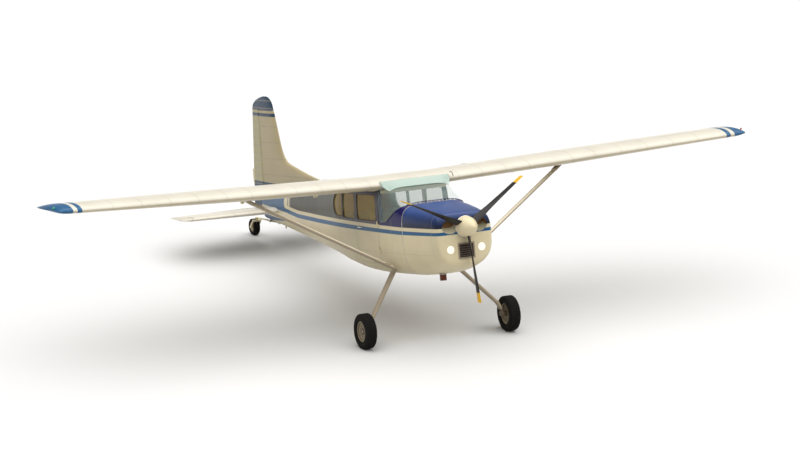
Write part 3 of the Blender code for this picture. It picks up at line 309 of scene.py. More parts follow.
def fuselage_paint():
    graph = Graph("fuselage_paint", PAINT_ROUGHNESS, **GLOSS)
    x, y, z = graph.place()
    low = graph.curve(y, STRIPE_LOW)
    over_blue = z - low - graph.curve(y, BLUE_BAND)
    over_cream = over_blue - CREAM_BAND
    under_top = graph.curve(y, NAVY_TOP) - z
    inside = graph.math("SMOOTH_MIN", over_cream & (NAVY_END_Y - y), under_top, NAVY_ROUND)
    wrapped = graph.math("SMOOTH_MIN", over_blue, CREAM_END_Y - y, 0.10)
    wrapped = graph.math("SMOOTH_MIN", wrapped, under_top + CREAM_BAND, NAVY_ROUND)
    colour = graph.mix(graph.above(z, low), CREAM, BLUE)
    colour = graph.mix(graph.above(wrapped, 0.0), colour, CREAM)
    # Painted light and shade on the cowl: a lighter top and darker sides, mixed by height
    cowl = graph.mix(graph.above(z, *COWL_SHADE), COWL_SIDE_PAINTED_SHADE, COWL_TOP_PAINTED_LIGHT)
    navy = graph.mix(graph.above(y, FIREWALL_Y), cowl, NAVY)
    # Aft of the windshield the navy is painted greyer: a painted reflection of the wing's underside and
    # painted shade under the wing
    painted_reflection = graph.mix(graph.above(y, 1.9, 0.5), MAUVE_PAINTED_REFLECTION, SLATE_PAINTED_SHADE_AND_REFLECTION)
    navy = graph.mix(graph.above(y, SLATE_START_Y, 0.06), navy, painted_reflection)
    colour = graph.mix(graph.above(inside, 0.0), colour, navy)
    bars = graph.groove(z * BAR_LEAN + y, BAR_PLACES, BAR_HALF) * graph.above(over_cream & under_top, 0.0)
    colour = graph.mix(bars, colour, NAVY)
    wedge = graph.above(z, graph.curve(y, WEDGE_LOW)) * (1.0 - graph.above(z, graph.curve(y, WEDGE_HIGH)))
    colour = graph.mix(wedge * graph.above(y, WEDGE_START_Y, 0.01), colour, BLUE)
    seams = graph.groove(y, PANEL_SEAMS) | graph.groove(z, (BELLY_SEAM_Z,), 0.0025) * graph.above(y, -0.80)
    colour = graph.mix(seams * 0.45, colour, SEAM)
    cowl_edge = graph.groove(y, (FIREWALL_Y,), 0.005) * graph.above(z, -0.10)
    graph.weathered(graph.mix(cowl_edge * 0.8, colour, CREAM))
    rivets = graph.groove(y, [s + 0.016 for s in PANEL_SEAMS], RIVET_HALF)
    rivets = graph.rows(z + x * 0.35, RIVET_PITCH, RIVET_HALF) * rivets
    graph.bump(rivets - seams, 0.0015)
    return graph.material


def fin_paint(name, cream, ribbed):
    graph = Graph(name, PAINT_ROUGHNESS, **GLOSS)
    _, y, z = graph.place()
    over_base = graph.above(z, graph.curve(y, FIN_BASE))
    blue = graph.above(z, FIN_CAP_Z) | graph.between(z, *FIN_STRIPE_Z) | 1.0 - over_base
    if ribbed:
        seams = graph.rows(z, RUDDER_BEAD_PITCH, 0.010) | graph.groove(y, (RUDDER_SEAM_Y,))
    else:
        seams = graph.groove(z, FIN_SEAMS, 0.006) | graph.groove(y, FIN_SEAMS_Y, 0.005)
    graph.weathered(graph.mix(seams * 0.40, graph.mix(blue, cream, FIN_BLUE), SEAM))
    graph.bump(1.0 - seams, 0.002)
    return graph.material


def wing_paint(name, cream):
    graph = Graph(name, PAINT_ROUGHNESS, **GLOSS)
    x, y, _ = graph.place()
    out = graph.math("ABSOLUTE", x)
    blue = graph.between(out, *TIP_STRIPES[:2]) | graph.above(out, TIP_STRIPES[2])
    seams = graph.groove(out, WING_SEAMS, 0.005) | graph.groove(y, (SKIN_SEAM_Y,), 0.005)
    graph.weathered(graph.mix(seams * 0.35, graph.mix(blue, cream, BLUE), SEAM))
    rivets = graph.groove(out, [s + 0.015 for s in WING_SEAMS], RIVET_HALF)
    rivets = graph.rows(y, RIVET_PITCH, RIVET_HALF) * rivets
    graph.bump(rivets - seams, 0.0015)
    return graph.material


def ribbed_paint(name, pitch):
    """Cream paint over a skin pressed into chordwise beads."""
    graph = Graph(name, PAINT_ROUGHNESS, **GLOSS)
    x, _, _ = graph.place()
    bead = graph.rows(x, pitch, 0.009)
    graph.weathered(graph.mix(bead * 0.22, WING_CREAM, SEAM))
    graph.bump(bead, 0.003)
    return graph.material


def plain(name, colour, roughness, metallic=0.0, grain=60.0, depth=0.0004, spread=0.25, dark=None, **sockets):
    """One colour, broken up by a fine noise in tone and height."""
    graph = Graph(name, roughness, metallic, **sockets)
    graph.place()
    shade = dark or tuple(c * 0.6 for c in colour)
    graph.set("Base Color", graph.mix(graph.noise(grain) * spread, colour, shade))
    graph.bump(graph.noise(grain * 4), depth)
    return graph.material


def fabric(name, colour, dark, pitch=0.006):
    """A woven cloth with a soft sheen."""
    graph = Graph(name, 0.9, Sheen_Weight=0.4, Sheen_Roughness=0.5)
    x, y, z = graph.place()
    weave = graph.rows(x, pitch, pitch / 5) | graph.rows(y + z, pitch, pitch / 5)
    graph.set("Base Color", graph.mix(weave * 0.25 + graph.noise(9.0) * 0.5, colour, dark))
    graph.bump(weave, 0.0008)
    return graph.material


def glass(name, tint, alpha, gloss=0.4):
    """See-through plastic, with faint smears in its gloss."""
    graph = Graph(name, Base_Color=tint, Alpha=alpha, IOR=1.5, Specular_IOR_Level=gloss)
    graph.place()
    graph.set("Roughness", graph.noise(7.0) * 0.06 + 0.02)
    return graph.material


def blade_paint():
    graph = Graph("blade_paint", 0.40, Specular_IOR_Level=0.3)
    x, _, z = graph.place()
    tip = graph.above(graph.math("SQRT", x * x + z * z), BLADE_TIP_START)
    colour = graph.mix(tip, (0.004, 0.003, 0.002), (0.70, 0.40, 0.015))
    graph.set("Base Color", graph.mix(graph.noise(24.0, 6.0) * 0.08, colour, (0.10, 0.085, 0.06)))
    graph.bump(graph.noise(160.0), 0.0002)
    return graph.material


MATERIALS = dict(
    fuselage=fuselage_paint(),
    fin=fin_paint("fin_paint", FIN_CREAM, False),
    rudder=fin_paint("rudder_paint", RUDDER_CREAM, True),
    wing=wing_paint("wing_paint", WING_CREAM),
    wing_under=wing_paint("wing_under_painted_shade", WING_UNDER_PAINTED_SHADE),
    stabiliser=ribbed_paint("stabiliser_paint", 0.420),
    elevator=ribbed_paint("elevator_paint", 0.130),
    cream=plain("cream_enamel", CREAM, 0.32, spread=0.12, **GLOSS),
    gear=plain("gear_enamel", GEAR_TAN, 0.38, **GLOSS),
    bright=plain("strut_top_painted_highlight", STRUT_TOP_HIGHLIGHT, 0.35, spread=0.12, **GLOSS),
    clear=glass("pane_inside", GLASS_TINT, 0.03, 0.1),
    navy=plain("navy_enamel", NAVY, 0.30, spread=0.10, **GLOSS),
    # The window strips are navy, painted mauve as a painted reflection
    strip=plain("window_strip_painted_reflection", MAUVE_PAINTED_REFLECTION, 0.45, spread=0.20, **GLOSS),
    glass=glass("tinted_glass", GLASS_TINT, 0.18, 0.3),
    side_glass=glass("smoked_glass", (0.42, 0.31, 0.075), 0.34, 0.2),
    lap=glass("glass_lap", (0.42, 0.53, 0.47), 0.62, 0.3),
    rubber=plain("tyre_rubber", (0.003, 0.003, 0.003), 0.9, grain=30.0, depth=0.0008, spread=0.6,
                 dark=(0.012, 0.010, 0.007), Specular_IOR_Level=0.2),
    seal=plain("black_seal", (0.015, 0.015, 0.015), 0.7),
    hub=plain("hub_enamel", (0.34, 0.27, 0.17), 0.45, 0.1, grain=18.0),
    # The hub's grooves are painted darker: painted shade in the recesses
    hub_groove_painted_shade=plain("hub_groove_painted_shade", (0.10, 0.080, 0.050), 0.6, grain=18.0),
    hub_web=plain("hub_web", (0.24, 0.19, 0.12), 0.5, grain=18.0),
    hub_bore=plain("hub_bore", (0.11, 0.078, 0.042), 0.55, grain=18.0),
    steel=plain("brushed_steel", (0.55, 0.54, 0.52), 0.35, 1.0, grain=90.0),
    chrome=plain("bright_metal", (0.75, 0.75, 0.74), 0.14, 1.0, spread=0.1),
    iron=plain("engine_metal", (0.16, 0.15, 0.14), 0.55, 0.8, grain=25.0),
    baffle=plain("baffle_metal", (0.20, 0.095, 0.025), 0.6, 0.1, grain=14.0, spread=0.6,
                 dark=(0.05, 0.022, 0.008)),
    ramp=plain("inlet_ramp", (0.46, 0.43, 0.29), 0.5, grain=14.0),
    rust=plain("rusty_pipe", (0.17, 0.045, 0.018), 0.75, 0.3, grain=34.0, depth=0.0012, spread=0.7,
               dark=(0.05, 0.018, 0.010)),
    bronze=plain("grille_bronze", (0.155, 0.115, 0.085), 0.5, 0.2),
    bezel=plain("grille_bezel", (0.30, 0.24, 0.17), 0.5, 0.1),
    dark=plain("dark_inside", (0.020, 0.018, 0.016), 0.8),
    trim=plain("orange_trim", (0.80, 0.40, 0.13), 0.8, grain=120.0, depth=0.0010),
    headliner=plain("tan_headliner", (0.60, 0.50, 0.30), 0.85, grain=140.0),
    carpet=fabric("floor_carpet", (0.20, 0.14, 0.07), (0.09, 0.06, 0.03), 0.012),
    seat=fabric("olive_cloth", (0.34, 0.31, 0.16), (0.20, 0.18, 0.09)),
    cushion=fabric("tan_cloth", (0.46, 0.40, 0.24), (0.28, 0.24, 0.13)),
    plastic=plain("black_plastic", (0.012, 0.012, 0.012), 0.5, grain=200.0, depth=0.0003),
    dial=plain("dial_face", (0.02, 0.02, 0.02), 0.3),
    red=glass("red_lens", (0.70, 0.03, 0.02), 0.85),
    green=glass("green_lens", (0.02, 0.45, 0.12), 0.85),
    white=glass("white_lens", (0.90, 0.90, 0.88), 0.60),
    blade=blade_paint(),
    lamp=Graph("lit_lamp", 0.2, Base_Color=(0.90, 0.86, 0.74), Emission_Color=(1.0, 0.96, 0.84),
               Emission_Strength=0.24).material,
)


# Meshes
def build_mesh(points, faces, marks=()):
    mesh = bpy.data.meshes.new("shape")
    mesh.from_pydata([tuple(p) for p in points], [], faces)
    for polygon, mark in zip(mesh.polygons, marks):
        polygon.material_index = mark
    mesh.validate()
    return mesh


def built(builder, mesh=None):
    """The mesh that a builder holds."""
    mesh = mesh or bpy.data.meshes.new("shape")
    builder.to_mesh(mesh)
    builder.free()
    return mesh


def outward(mesh, weld=None):
    """Turns every face of a closed mesh outward."""
    builder = bmesh.new()
    builder.from_mesh(mesh)
    if weld:
        bmesh.ops.remove_doubles(builder, verts=builder.verts, dist=weld)
    bmesh.ops.recalc_face_normals(builder, faces=builder.faces)
    return built(builder, mesh)


def turns(count, shift=0.0):
    """Even steps round a circle."""
    return [2 * math.pi * (i + shift) / count for i in range(count)]


def band(near, far, count):
    """Faces between two rings of points, given by their first points' numbers."""
    return [(near + i, near + (i + 1) % count, far + (i + 1) % count, far + i) for i in range(count)]


def skin(rings, caps=True, mark=0):
    """A closed surface through rings of equally many points."""
    count, last = len(rings[0]), len(rings) - 1
    faces = []
    for r in range(last):
        faces += band(r * count, (r + 1) * count, count)
    if caps:
        faces += [tuple(range(count)), tuple(range(last * count, (last + 1) * count))]
    return outward(build_mesh([p for ring in rings for p in ring], faces, [mark] * len(faces)))


def tube(outer, inner):
    """A wall between an outer and an inner run of rings; inner faces carry the second material."""
    count, last = len(outer[0]), len(outer) - 1
    shift = count * len(outer)
    faces, marks = [], []
    for r in range(last):
        for face in band(r * count, (r + 1) * count, count):
            faces += [face, tuple(shift + i for i in reversed(face))]
            marks += [0, 1]
    for r in (0, last):
        faces += band(r * count, shift + r * count, count)
        marks += [0] * count
    return outward(build_mesh([p for ring in outer + inner for p in ring], faces, marks))


def sheet_mesh(rows):
    """An open grid of points."""
    across = len(rows[0])
    faces = [(r * across + i, r * across + i + 1, (r + 1) * across + i + 1, (r + 1) * across + i)
             for r in range(len(rows) - 1) for i in range(across - 1)]
    return build_mesh([p for row in rows for p in row], faces)


def box(*spans):
    """A block given by its reach along x, y and z."""
    builder = bmesh.new()
    middle = Matrix.Translation([(low + high) / 2 for low, high in spans])
    bmesh.ops.create_cube(builder, size=1, matrix=middle @ Matrix.Diagonal((*[b - a for a, b in spans], 1)))
    return built(builder)


def rod(start, end, radius, segments=24, end_radius=None):
    start, end = Vector(start), Vector(end)
    turn = (end - start).to_track_quat("Z", "Y").to_matrix().to_4x4()
    builder = bmesh.new()
    bmesh.ops.create_cone(builder, cap_ends=True, segments=segments, radius1=radius,
                          radius2=radius if end_radius is None else end_radius,
                          depth=(end - start).length, matrix=Matrix.Translation((start + end) / 2) @ turn)
    return built(builder)


def upright(x, y, low, high, *rest):
    return rod((x, y, low), (x, y, high), *rest)


def lathe(profile, matrix, segments=64):
    """A (radius, height) loop turned about a matrix's Z axis; a third value picks each band's material."""
    points = [matrix @ Vector((radius * math.cos(turn), radius * math.sin(turn), height))
              for radius, height, *_ in profile for turn in turns(segments)]
    pairs = list(zip(range(len(profile)), range(1, len(profile))))
    if profile[0][0] > 0 and profile[-1][0] > 0:
        pairs.append((len(profile) - 1, 0))
    faces, marks = [], []
    for a, b in pairs:
        faces += band(a * segments, b * segments, segments)
        marks += [profile[a][2] if len(profile[a]) > 2 else 0] * segments
    return outward(build_mesh(points, faces, marks), weld=0.00005)


def rope(points, radius, sides=8):
    """A round bar along a line of points."""
    points = [Vector(p) for p in points]
    rings = []
    for i, point in enumerate(points):
        ahead = (points[min(i + 1, len(points) - 1)] - points[max(i - 1, 0)]).normalized()
        across = (ahead.orthogonal() if i == 0 else across - ahead * across.dot(ahead)).normalized()
        up = ahead.cross(across)
        rings.append([point + across * (radius * math.cos(t)) + up * (radius * math.sin(t))
                      for t in turns(sides)])
    return skin(rings)


def merged(meshes):
    """Several meshes as one."""
    builder = bmesh.new()
    for mesh in meshes:
        builder.from_mesh(mesh)
    return built(builder)


def mirrored(mesh, side):
    if side < 0:
        mesh.transform(Matrix.Scale(-1, 4, (1, 0, 0)))
        mesh.flip_normals()
    return mesh


def link(name, data):
    thing = bpy.data.objects.new(name, data)
    bpy.context.scene.collection.objects.link(thing)
    return thing


def smooth(piece, sharp=35):
    piece.data.shade_smooth()
    piece.data.set_sharp_from_angle(angle=math.radians(sharp))
    return piece


def add(name, mesh, *materials, body="airframe", side=1, replaces=None, slot=None, sharp=35, bevel=0.0,
        level=True, place=None):
    """A piece laid out in airframe coordinates, set on its body."""
    if place:
        mesh.transform(place)
    mirrored(mesh, side)
    if level:
        mesh.transform(AIRFRAME)
    piece = link(name, mesh)
    for key in materials:
        mesh.materials.append(MATERIALS[key])
    if bevel:
        edge = piece.modifiers.new("edge", "BEVEL")
        edge.width = bevel
        edge.segments = 2
        edge.limit_method = "ANGLE"
    smooth(piece, sharp)
    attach(piece, body)
    if replaces:
        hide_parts(replaces)
    return piece


def thicken(piece, thickness, offset=-1.0):
    step = piece.modifiers.new("thickness", "SOLIDIFY")
    step.thickness = thickness
    step.offset = offset


def evaluated(piece):
    return piece.evaluated_get(bpy.context.evaluated_depsgraph_get())


def carve(piece, mesh, operation="DIFFERENCE"):
    """Cuts a mesh, given in airframe coordinates, out of a piece for good."""
    mesh.transform(AIRFRAME)
    cutter = link("cutter", mesh)
    step = piece.modifiers.new("cut", "BOOLEAN")
    step.operation = operation
    step.object = cutter
    step.material_mode = "INDEX"
    shaped = bpy.data.meshes.new_from_object(evaluated(piece))
    piece.modifiers.remove(step)
    piece.data = shaped
    bpy.data.objects.remove(cutter, do_unlink=True)
    return piece


def repaint(node, key):
    """Gives a kept solid its finish."""
    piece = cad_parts[node]
    if not piece.material_slots:
        piece.data.materials.append(MATERIALS[key])
    for place in piece.material_slots:
        place.material = MATERIALS[key]


# Fuselage surface
def between(near, far, share):
    return [a + (b - a) * share for a, b in zip(near, far)]


def table_row(table, at):
    """A table read at any value of its first column, by smooth curves through its rows."""
    last = len(table) - 1
    k = next((i for i in range(last) if at <= table[i + 1][0]), last - 1)
    near, far = table[k], table[k + 1]
    before, after = table[max(k - 1, 0)], table[min(k + 2, last)]
    span = far[0] - near[0]
    t = min(max((at - near[0]) / span, 0.0), 1.0)
    row = []
    for p0, p1, p2, p3 in zip(before, near, far, after):
        m1 = (p2 - p0) * span / (far[0] - before[0])
        m2 = (p3 - p1) * span / (after[0] - near[0])
        row.append((2 * t ** 3 - 3 * t ** 2 + 1) * p1 + (t ** 3 - 2 * t ** 2 + t) * m1
                   + (3 * t ** 2 - 2 * t ** 3) * p2 + (t ** 3 - t ** 2) * m2)
    return row


def power(value, exponent):
    return math.copysign(abs(value) ** exponent, value)


def body_point(y, turn, grow=0.0):
    _, half, widest, top, bottom, above, below = table_row(BODY, y)
    upper = math.sin(turn) > 0
    squareness = above if upper else below
    height = (top - widest if upper else widest - bottom) + grow
    return Vector(((half + grow) * power(math.cos(turn), 2 / squareness), y,
                   widest + height * power(math.sin(turn), 2 / squareness)))


def body_ring(y, grow=0.0):
    return [body_point(y, turn, grow) for turn in turns(RING_POINTS, 0.5)]


def body_wall(ys, outer=0.0, inner=-WALL):
    return tube([body_ring(y, outer) for y in ys], [body_ring(y, inner) for y in ys])


def stations(start, end, step):
    count = max(int(math.ceil((end - start) / step)), 1)
    return [start + (end - start) * i / count for i in range(count + 1)]


def resampled(table, step):
    return [table_row(table, at) for at in stations(table[0][0], table[-1][0], step)]


def side_x(y, z, grow=0.0):
    """How far out the body's side is at a height."""
    _, half, widest, top, bottom, above, below = table_row(BODY, y)
    upper = z > widest
    squareness = above if upper else below
    share = abs(z - widest) / (top - widest if upper else widest - bottom)
    return (half + grow) * max(1 - min(share, 1.0) ** squareness, 0.0) ** (1 / squareness)


def top_z(y, x, grow=0.0):
    _, half, widest, top, _, above, _ = table_row(BODY, y)
    share = min(abs(x) / half, 1.0)
    return widest + (top - widest + grow) * (1 - share ** above) ** (1 / above)


def rounded(front, rear, bottom, top, radii, grow=0.0):
    """A window's side outline with round corners, as (y, z) points."""
    front, rear, bottom, top = front - grow, rear + grow, bottom - grow, top + grow
    corners = ((rear, bottom, -90), (rear, top, 0), (front, top, 90), (front, bottom, 180))
    points = []
    for (y, z, start), r in zip(corners, radii):
        r = max(r + grow, 0.002)
        centre_y = y + (-r if y == rear else r)
        centre_z = z + (r if z == bottom else -r)
        for i in range(7):
            turn = math.radians(start + 15 * i)
            points.append((centre_y + r * math.cos(turn), centre_z + r * math.sin(turn)))
    return points


def prism(outline, x0, x1):
    return skin([[(x, y, z) for y, z in outline] for x in (x0, x1)])


WINDOWS = {
    "mid_window": rounded(*MID_WINDOW, (WINDOW_ROUND,) * 4),
    "rear_window": rounded(*REAR_WINDOW, (REAR_WINDOW_ROUND,) * 2 + (WINDOW_ROUND,) * 2),
    "door_window": rounded(*DOOR_WINDOW, (WINDOW_ROUND,) * 4),
}


# Wing surface
def aerofoil(share, surface):
    camber, place, thickness = 0.02, 0.40, 0.12
    half = 5 * thickness * (0.2969 * math.sqrt(share) - 0.1260 * share - 0.3516 * share ** 2
                            + 0.2843 * share ** 3 - 0.1015 * share ** 4)
    if share < place:
        line = camber / place ** 2 * (2 * place * share - share ** 2)
    else:
        line = camber / (1 - place) ** 2 * (1 - 2 * place + 2 * place * share - share ** 2)
    return line + surface * half


def wing_row(station):
    for near, far in zip(WING_RIBS, WING_RIBS[1:]):
        if station <= far[0]:
            return between(near, far, (station - near[0]) / (far[0] - near[0]))
    return list(WING_RIBS[-1])


def section_point(station, lead, chord, incidence, share, surface, thickness=1.0, grow=0.0):
    middle = (aerofoil(share, 1) + aerofoil(share, -1)) / 2
    height = (middle + (aerofoil(share, surface) - middle) * thickness) * chord + surface * grow
    along = share * chord + grow * (2 * share - 1)
    tilt = math.radians(incidence)
    return Vector((station, lead + along * math.cos(tilt) + height * math.sin(tilt),
                   height * math.cos(tilt) - along * math.sin(tilt)))


def wing_point(station, share, surface, grow=0.0):
    _, lead, chord, incidence = wing_row(station)
    return section_point(station, lead, chord, incidence, share, surface, grow=grow)


def shares(end=1.0, count=28):
    """Shares of the chord, closer together at the nose."""
    return [end * (1 - math.cos(math.pi / 2 * i / count)) for i in range(count + 1)]


def hinge_point(station, chord_share):
    share = 1 - chord_share
    over, under = wing_point(station, share, 1), wing_point(station, share, -1)
    return (over + under) / 2, (over - under).length / 2


def cut_share(station, chord_share):
    """Share of the chord where the wing ends ahead of a control surface."""
    centre, radius = hinge_point(station, chord_share)
    _, lead, chord, _ = wing_row(station)
    return (centre.y - radius - BAY_GAP - lead) / chord


def section_ring(point, end=1.0):
    """Points round a section: over the top to the nose, and back underneath."""
    return [point(s, 1) for s in reversed(shares(end))] + [point(s, -1) for s in shares(end)[1:]]


def wing_ring(station, end=1.0):
    return section_ring(lambda share, surface: wing_point(station, share, surface), end)


def root_block(xs):
    """The root section carried across the cabin."""
    return skin([[Vector((x, p.y, p.z + WING_ROOT_Z)) for p in wing_ring(0.0)] for x in xs])


def surface_ring(station, chord_share):
    centre, radius = hinge_point(station, chord_share)
    tilt = -math.radians(wing_row(station)[3])
    nose = []
    for i in range(13):
        turn = math.pi / 2 + math.pi * i / 12 + tilt
        nose.append(Vector((station, centre.y + radius * math.cos(turn), centre.z + radius * math.sin(turn))))
    start = 1 - chord_share
    runs = [start + (1 - start) * (i / 8) for i in range(1, 9)]
    under = [wing_point(station, s, -1) for s in runs]
    return nose + under + [wing_point(station, s, 1) for s in reversed(runs)]


# Columns: station, leading edge y, trailing edge y, share of the tip rib's thickness
WING_TIP = (
    (4.722, 0.700, 1.800, 1.00),
    (4.800, 0.708, 1.770, 0.90),
    (4.860, 0.726, 1.640, 0.70),
    (4.892, 0.755, 1.420, 0.45),
    (4.903, 0.800, 1.200, 0.12),
)
TIP_STATIONS = (4.7223, 4.740, 4.760, 4.780, 4.800, 4.820, 4.840, 4.855, 4.868, 4.880, 4.890, 4.897, 4.901,
                4.903)


def in_wing(mesh):
    mesh.transform(WING_FRAME)
    return mesh


def tip_ring(at):
    station, lead, rear, thickness = table_row(WING_TIP, at)
    _, root_lead, _, incidence = WING_RIBS[-1]
    lift = Vector((0, 0, (lead - root_lead) * math.sin(math.radians(-incidence))))
    rib = (station, lead, rear - lead, incidence)
    return section_ring(lambda share, surface: section_point(*rib, share, surface, thickness) + lift)


# Nose. Inlet: x, z, half width, half height. Lamp: x, z, radius. Grille: left, right, bottom, top
INLET = (0.225, 0.010, 0.125, 0.098)
LIGHT = (0.243, -0.312, 0.060)
GRILLE = (-0.130, 0.130, -0.455, -0.225)
GRILLE_RIM = 0.020
GRILLE_SLATS = 6
EXHAUST = (-0.135, -0.400, 0.048, -0.785)
EXHAUST_WALL = 0.005
SPINNER_REAR_Y = -0.985
SPINNER_LENGTH = 0.300
SPINNER_RADIUS = 0.152
SPINNER_POINTEDNESS = 1.4
SPINNER_SCREWS = 12
PROP_Y = -1.071
BLADE_ANGLES = (34.8, 154.8, 274.8)
# Columns: radius, chord, half thickness, pitch in degrees
BLADE = (
    (0.080, 0.110, 0.028, 46.0),
    (0.200, 0.125, 0.020, 55.0),
    (0.450, 0.118, 0.013, 72.0),
    (0.750, 0.122, 0.009, 83.0),
    (1.000, 0.124, 0.007, 88.0),
    (1.098, 0.120, 0.006, 90.0),
)
BLADE_ROOT = 0.110
BLADE_BACK = 0.55
INLET_POINTS = 40
NOSE_CUT_Y = (NOSE_Y - 0.05, NOSE_Y + 0.05)
NOSE_DROP = 0.17
COWL_SHELL = 0.97
# Columns: share of the nose's outline, depth behind the nose
NOSE_FACE = ((0.002, 0.0), (0.6, 0.0), (0.93, 0.0), (0.985, 0.003))
# Columns: depth behind the nose, growth of the width, share of the height, rise of the middle
INLET_ROWS = (
    (0.000, 0.0025, 1.025, 0.000),
    (0.004, 0.0005, 1.005, 0.000),
    (0.030, -0.004, 0.900, 0.006),
    (0.070, -0.010, 0.700, 0.020),
    (0.105, -0.018, 0.520, 0.034),
)


def ellipse(x, z, half_x, half_z, y):
    return [(x + half_x * math.cos(t), y, z + half_z * math.sin(t)) for t in turns(INLET_POINTS)]


def through_nose(x, z, radius):
    return rod((x, NOSE_CUT_Y[0], z), (x, NOSE_CUT_Y[1], z), radius, 40)


def build_nose():
    def scaled(ring, share, shift):
        return [Vector((p.x * share, p.y + shift, (p.z + NOSE_DROP) * share - NOSE_DROP)) for p in ring]

    ys = stations(NOSE_Y, -0.85, 0.012)[:-1] + stations(-0.85, -0.0123, 0.035)
    outer = [scaled(body_ring(NOSE_Y), share, shift) for share, shift in NOSE_FACE]
    outer += [body_ring(y) for y in ys[1:]]
    inner = [scaled(ring, COWL_SHELL, 0.012 * (ring[0].y < -0.9)) for ring in outer]
    cowl = add("cowling", tube(outer, inner), "fuselage", "dark", replaces="engine_cowling")
    x, z, half_x, half_z = INLET
    cutters = []
    for side in (1, -1):
        ends = [ellipse(side * x, z, half_x, half_z, y) for y in (NOSE_Y - 0.05, NOSE_Y + 0.06)]
        cutters += [skin(ends, mark=1), through_nose(side * LIGHT[0], LIGHT[1], LIGHT[2] + 0.002)]
    left, right, bottom, top = GRILLE
    cutters += [through_nose(0, 0, 0.075), box((left, right), NOSE_CUT_Y, (bottom, top))]
    smooth(carve(cowl, merged(cutters)))
    for side, word in SIDES:
        add("cooling_inlet_" + word, inlet_duct(), "baffle", "ramp", "dark", side=side)
    for side, word in SIDES:
        build_light(side, word)
    build_grille()


def inlet_duct():
    """A shallow cooling duct: dark lip, brown back, and a pale ramp rising from its lower edge."""
    x, z, half_x, half_z = INLET
    rings = [ellipse(x, z + rise, half_x + grow, half_z * share, NOSE_Y + depth)
             for depth, grow, share, rise in INLET_ROWS]
    depth, grow, share, rise = INLET_ROWS[0]
    lip = ellipse(x, z + rise, half_x + grow + 0.003, half_z * share + 0.003, NOSE_Y + depth)
    faces, marks = [], []
    for r in range(len(rings)):
        faces += band(r * INLET_POINTS, (r + 1) * INLET_POINTS, INLET_POINTS)
        marks += [2 if r < 1 else 1 if math.sin(t) < -0.15 else 0 for t in turns(INLET_POINTS, 0.5)]
    last = len(rings) * INLET_POINTS
    faces.append(tuple(range(last, last + INLET_POINTS)))
    return build_mesh([p for ring in [lip] + rings for p in ring], faces, marks + [0])


def build_light(side, word):
    x, z, radius = LIGHT
    turn = stand((x, NOSE_Y, z), 90, "X")
    bowl = [(0.0, 0.005), (radius * 0.55, 0.004), (radius * 0.93, 0.001), (radius * 0.98, -0.002),
            (radius * 0.98, -0.030), (0.0, -0.034)]
    add("landing_lamp_" + word, lathe(bowl, turn, 56), "lamp", side=side, replaces="landing_light_" + word)
    rim = [(radius * 0.985, 0.002), (radius * 1.01, 0.004), (radius * 1.06, 0.001), (radius * 1.06, -0.003),
           (radius * 0.985, -0.003)]
    add("landing_rim_" + word, lathe(rim, turn, 56), "cream", side=side)


def build_grille():
    left, right, bottom, top = GRILLE
    rim = GRILLE_RIM
    deep = (NOSE_Y - 0.012, NOSE_Y + 0.010)
    bars = [box((left, right), deep, (top - rim, top)),
            box((left, right), deep, (bottom, bottom + rim)),
            box((left, left + rim), deep, (bottom + rim, top - rim)),
            box((right - rim, right), deep, (bottom + rim, top - rim))]
    add("grille_frame", merged(bars), "bezel", replaces="intake_grille", bevel=0.003)
    slats = []
    pitch = (top - bottom - 2 * rim) / GRILLE_SLATS
    for i in range(GRILLE_SLATS):
        slat = box((left + rim, right - rim), (-0.014, 0.014), (-0.003, 0.003))
        slat.transform(stand((0, NOSE_Y + 0.006, bottom + rim + pitch * (i + 0.5)), -35, "X"))
        slats.append(slat)
    add("grille_slats", merged(slats), "bronze")
    back = box((left + 0.005, right - 0.005), (NOSE_Y + 0.030, NOSE_Y + 0.034), (bottom + 0.005, top - 0.005))
    add("grille_filter", back, "dark")


def build_exhaust():
    x, y, radius, end = EXHAUST
    turn = Matrix.Translation((x, y, end))
    bore = radius - EXHAUST_WALL
    profile = [(bore, 0.0), (radius, 0.0), (radius + 0.0005, 0.004), (radius, 0.10), (radius, 0.16),
               (bore, 0.16)]
    add("exhaust_stack", lathe(profile, turn, 48), "rust", replaces="exhaust_pipe")
    collar = [(radius + 0.001, 0.088), (radius + 0.010, 0.090), (radius + 0.012, 0.097),
              (radius + 0.001, 0.099)]
    add("exhaust_clamp", lathe(collar, turn, 48), "steel")


def build_propeller():
    turn = stand((0, SPINNER_REAR_Y, 0), 90, "X")
    radius = SPINNER_RADIUS
    steps = [math.pi / 2 * i / 24 for i in range(1, 25)]
    profile = [(0.0, SPINNER_LENGTH)]
    profile += [(radius * math.sin(t) ** SPINNER_POINTEDNESS, SPINNER_LENGTH * math.cos(t)) for t in steps]
    profile += [(radius - 0.006, -0.001), (radius - 0.02, 0.002), (0.0, 0.002)]
    add("spinner_shell", lathe(profile, turn), "cream", body="propeller", replaces="spinner")
    plate = [(radius - 0.006, -0.002), (radius + 0.002, -0.001), (radius + 0.002, 0.010),
             (radius - 0.002, 0.014), (radius - 0.006, 0.010)]
    add("spinner_backplate", lathe(plate, turn), "chrome", body="propeller")
    screws = []
    for at in turns(SPINNER_SCREWS, 0.5):
        out = Vector((math.cos(at), 0, math.sin(at)))
        place = Vector((0, SPINNER_REAR_Y - 0.022, 0)) + out * (radius - 0.001)
        screws.append(rod(place, place + out * 0.003, 0.0035, 10))
    add("spinner_screws", merged(screws), "steel", body="propeller")
    for number, angle in enumerate(BLADE_ANGLES, 1):
        build_blade("blade_%d" % number, math.radians(angle))


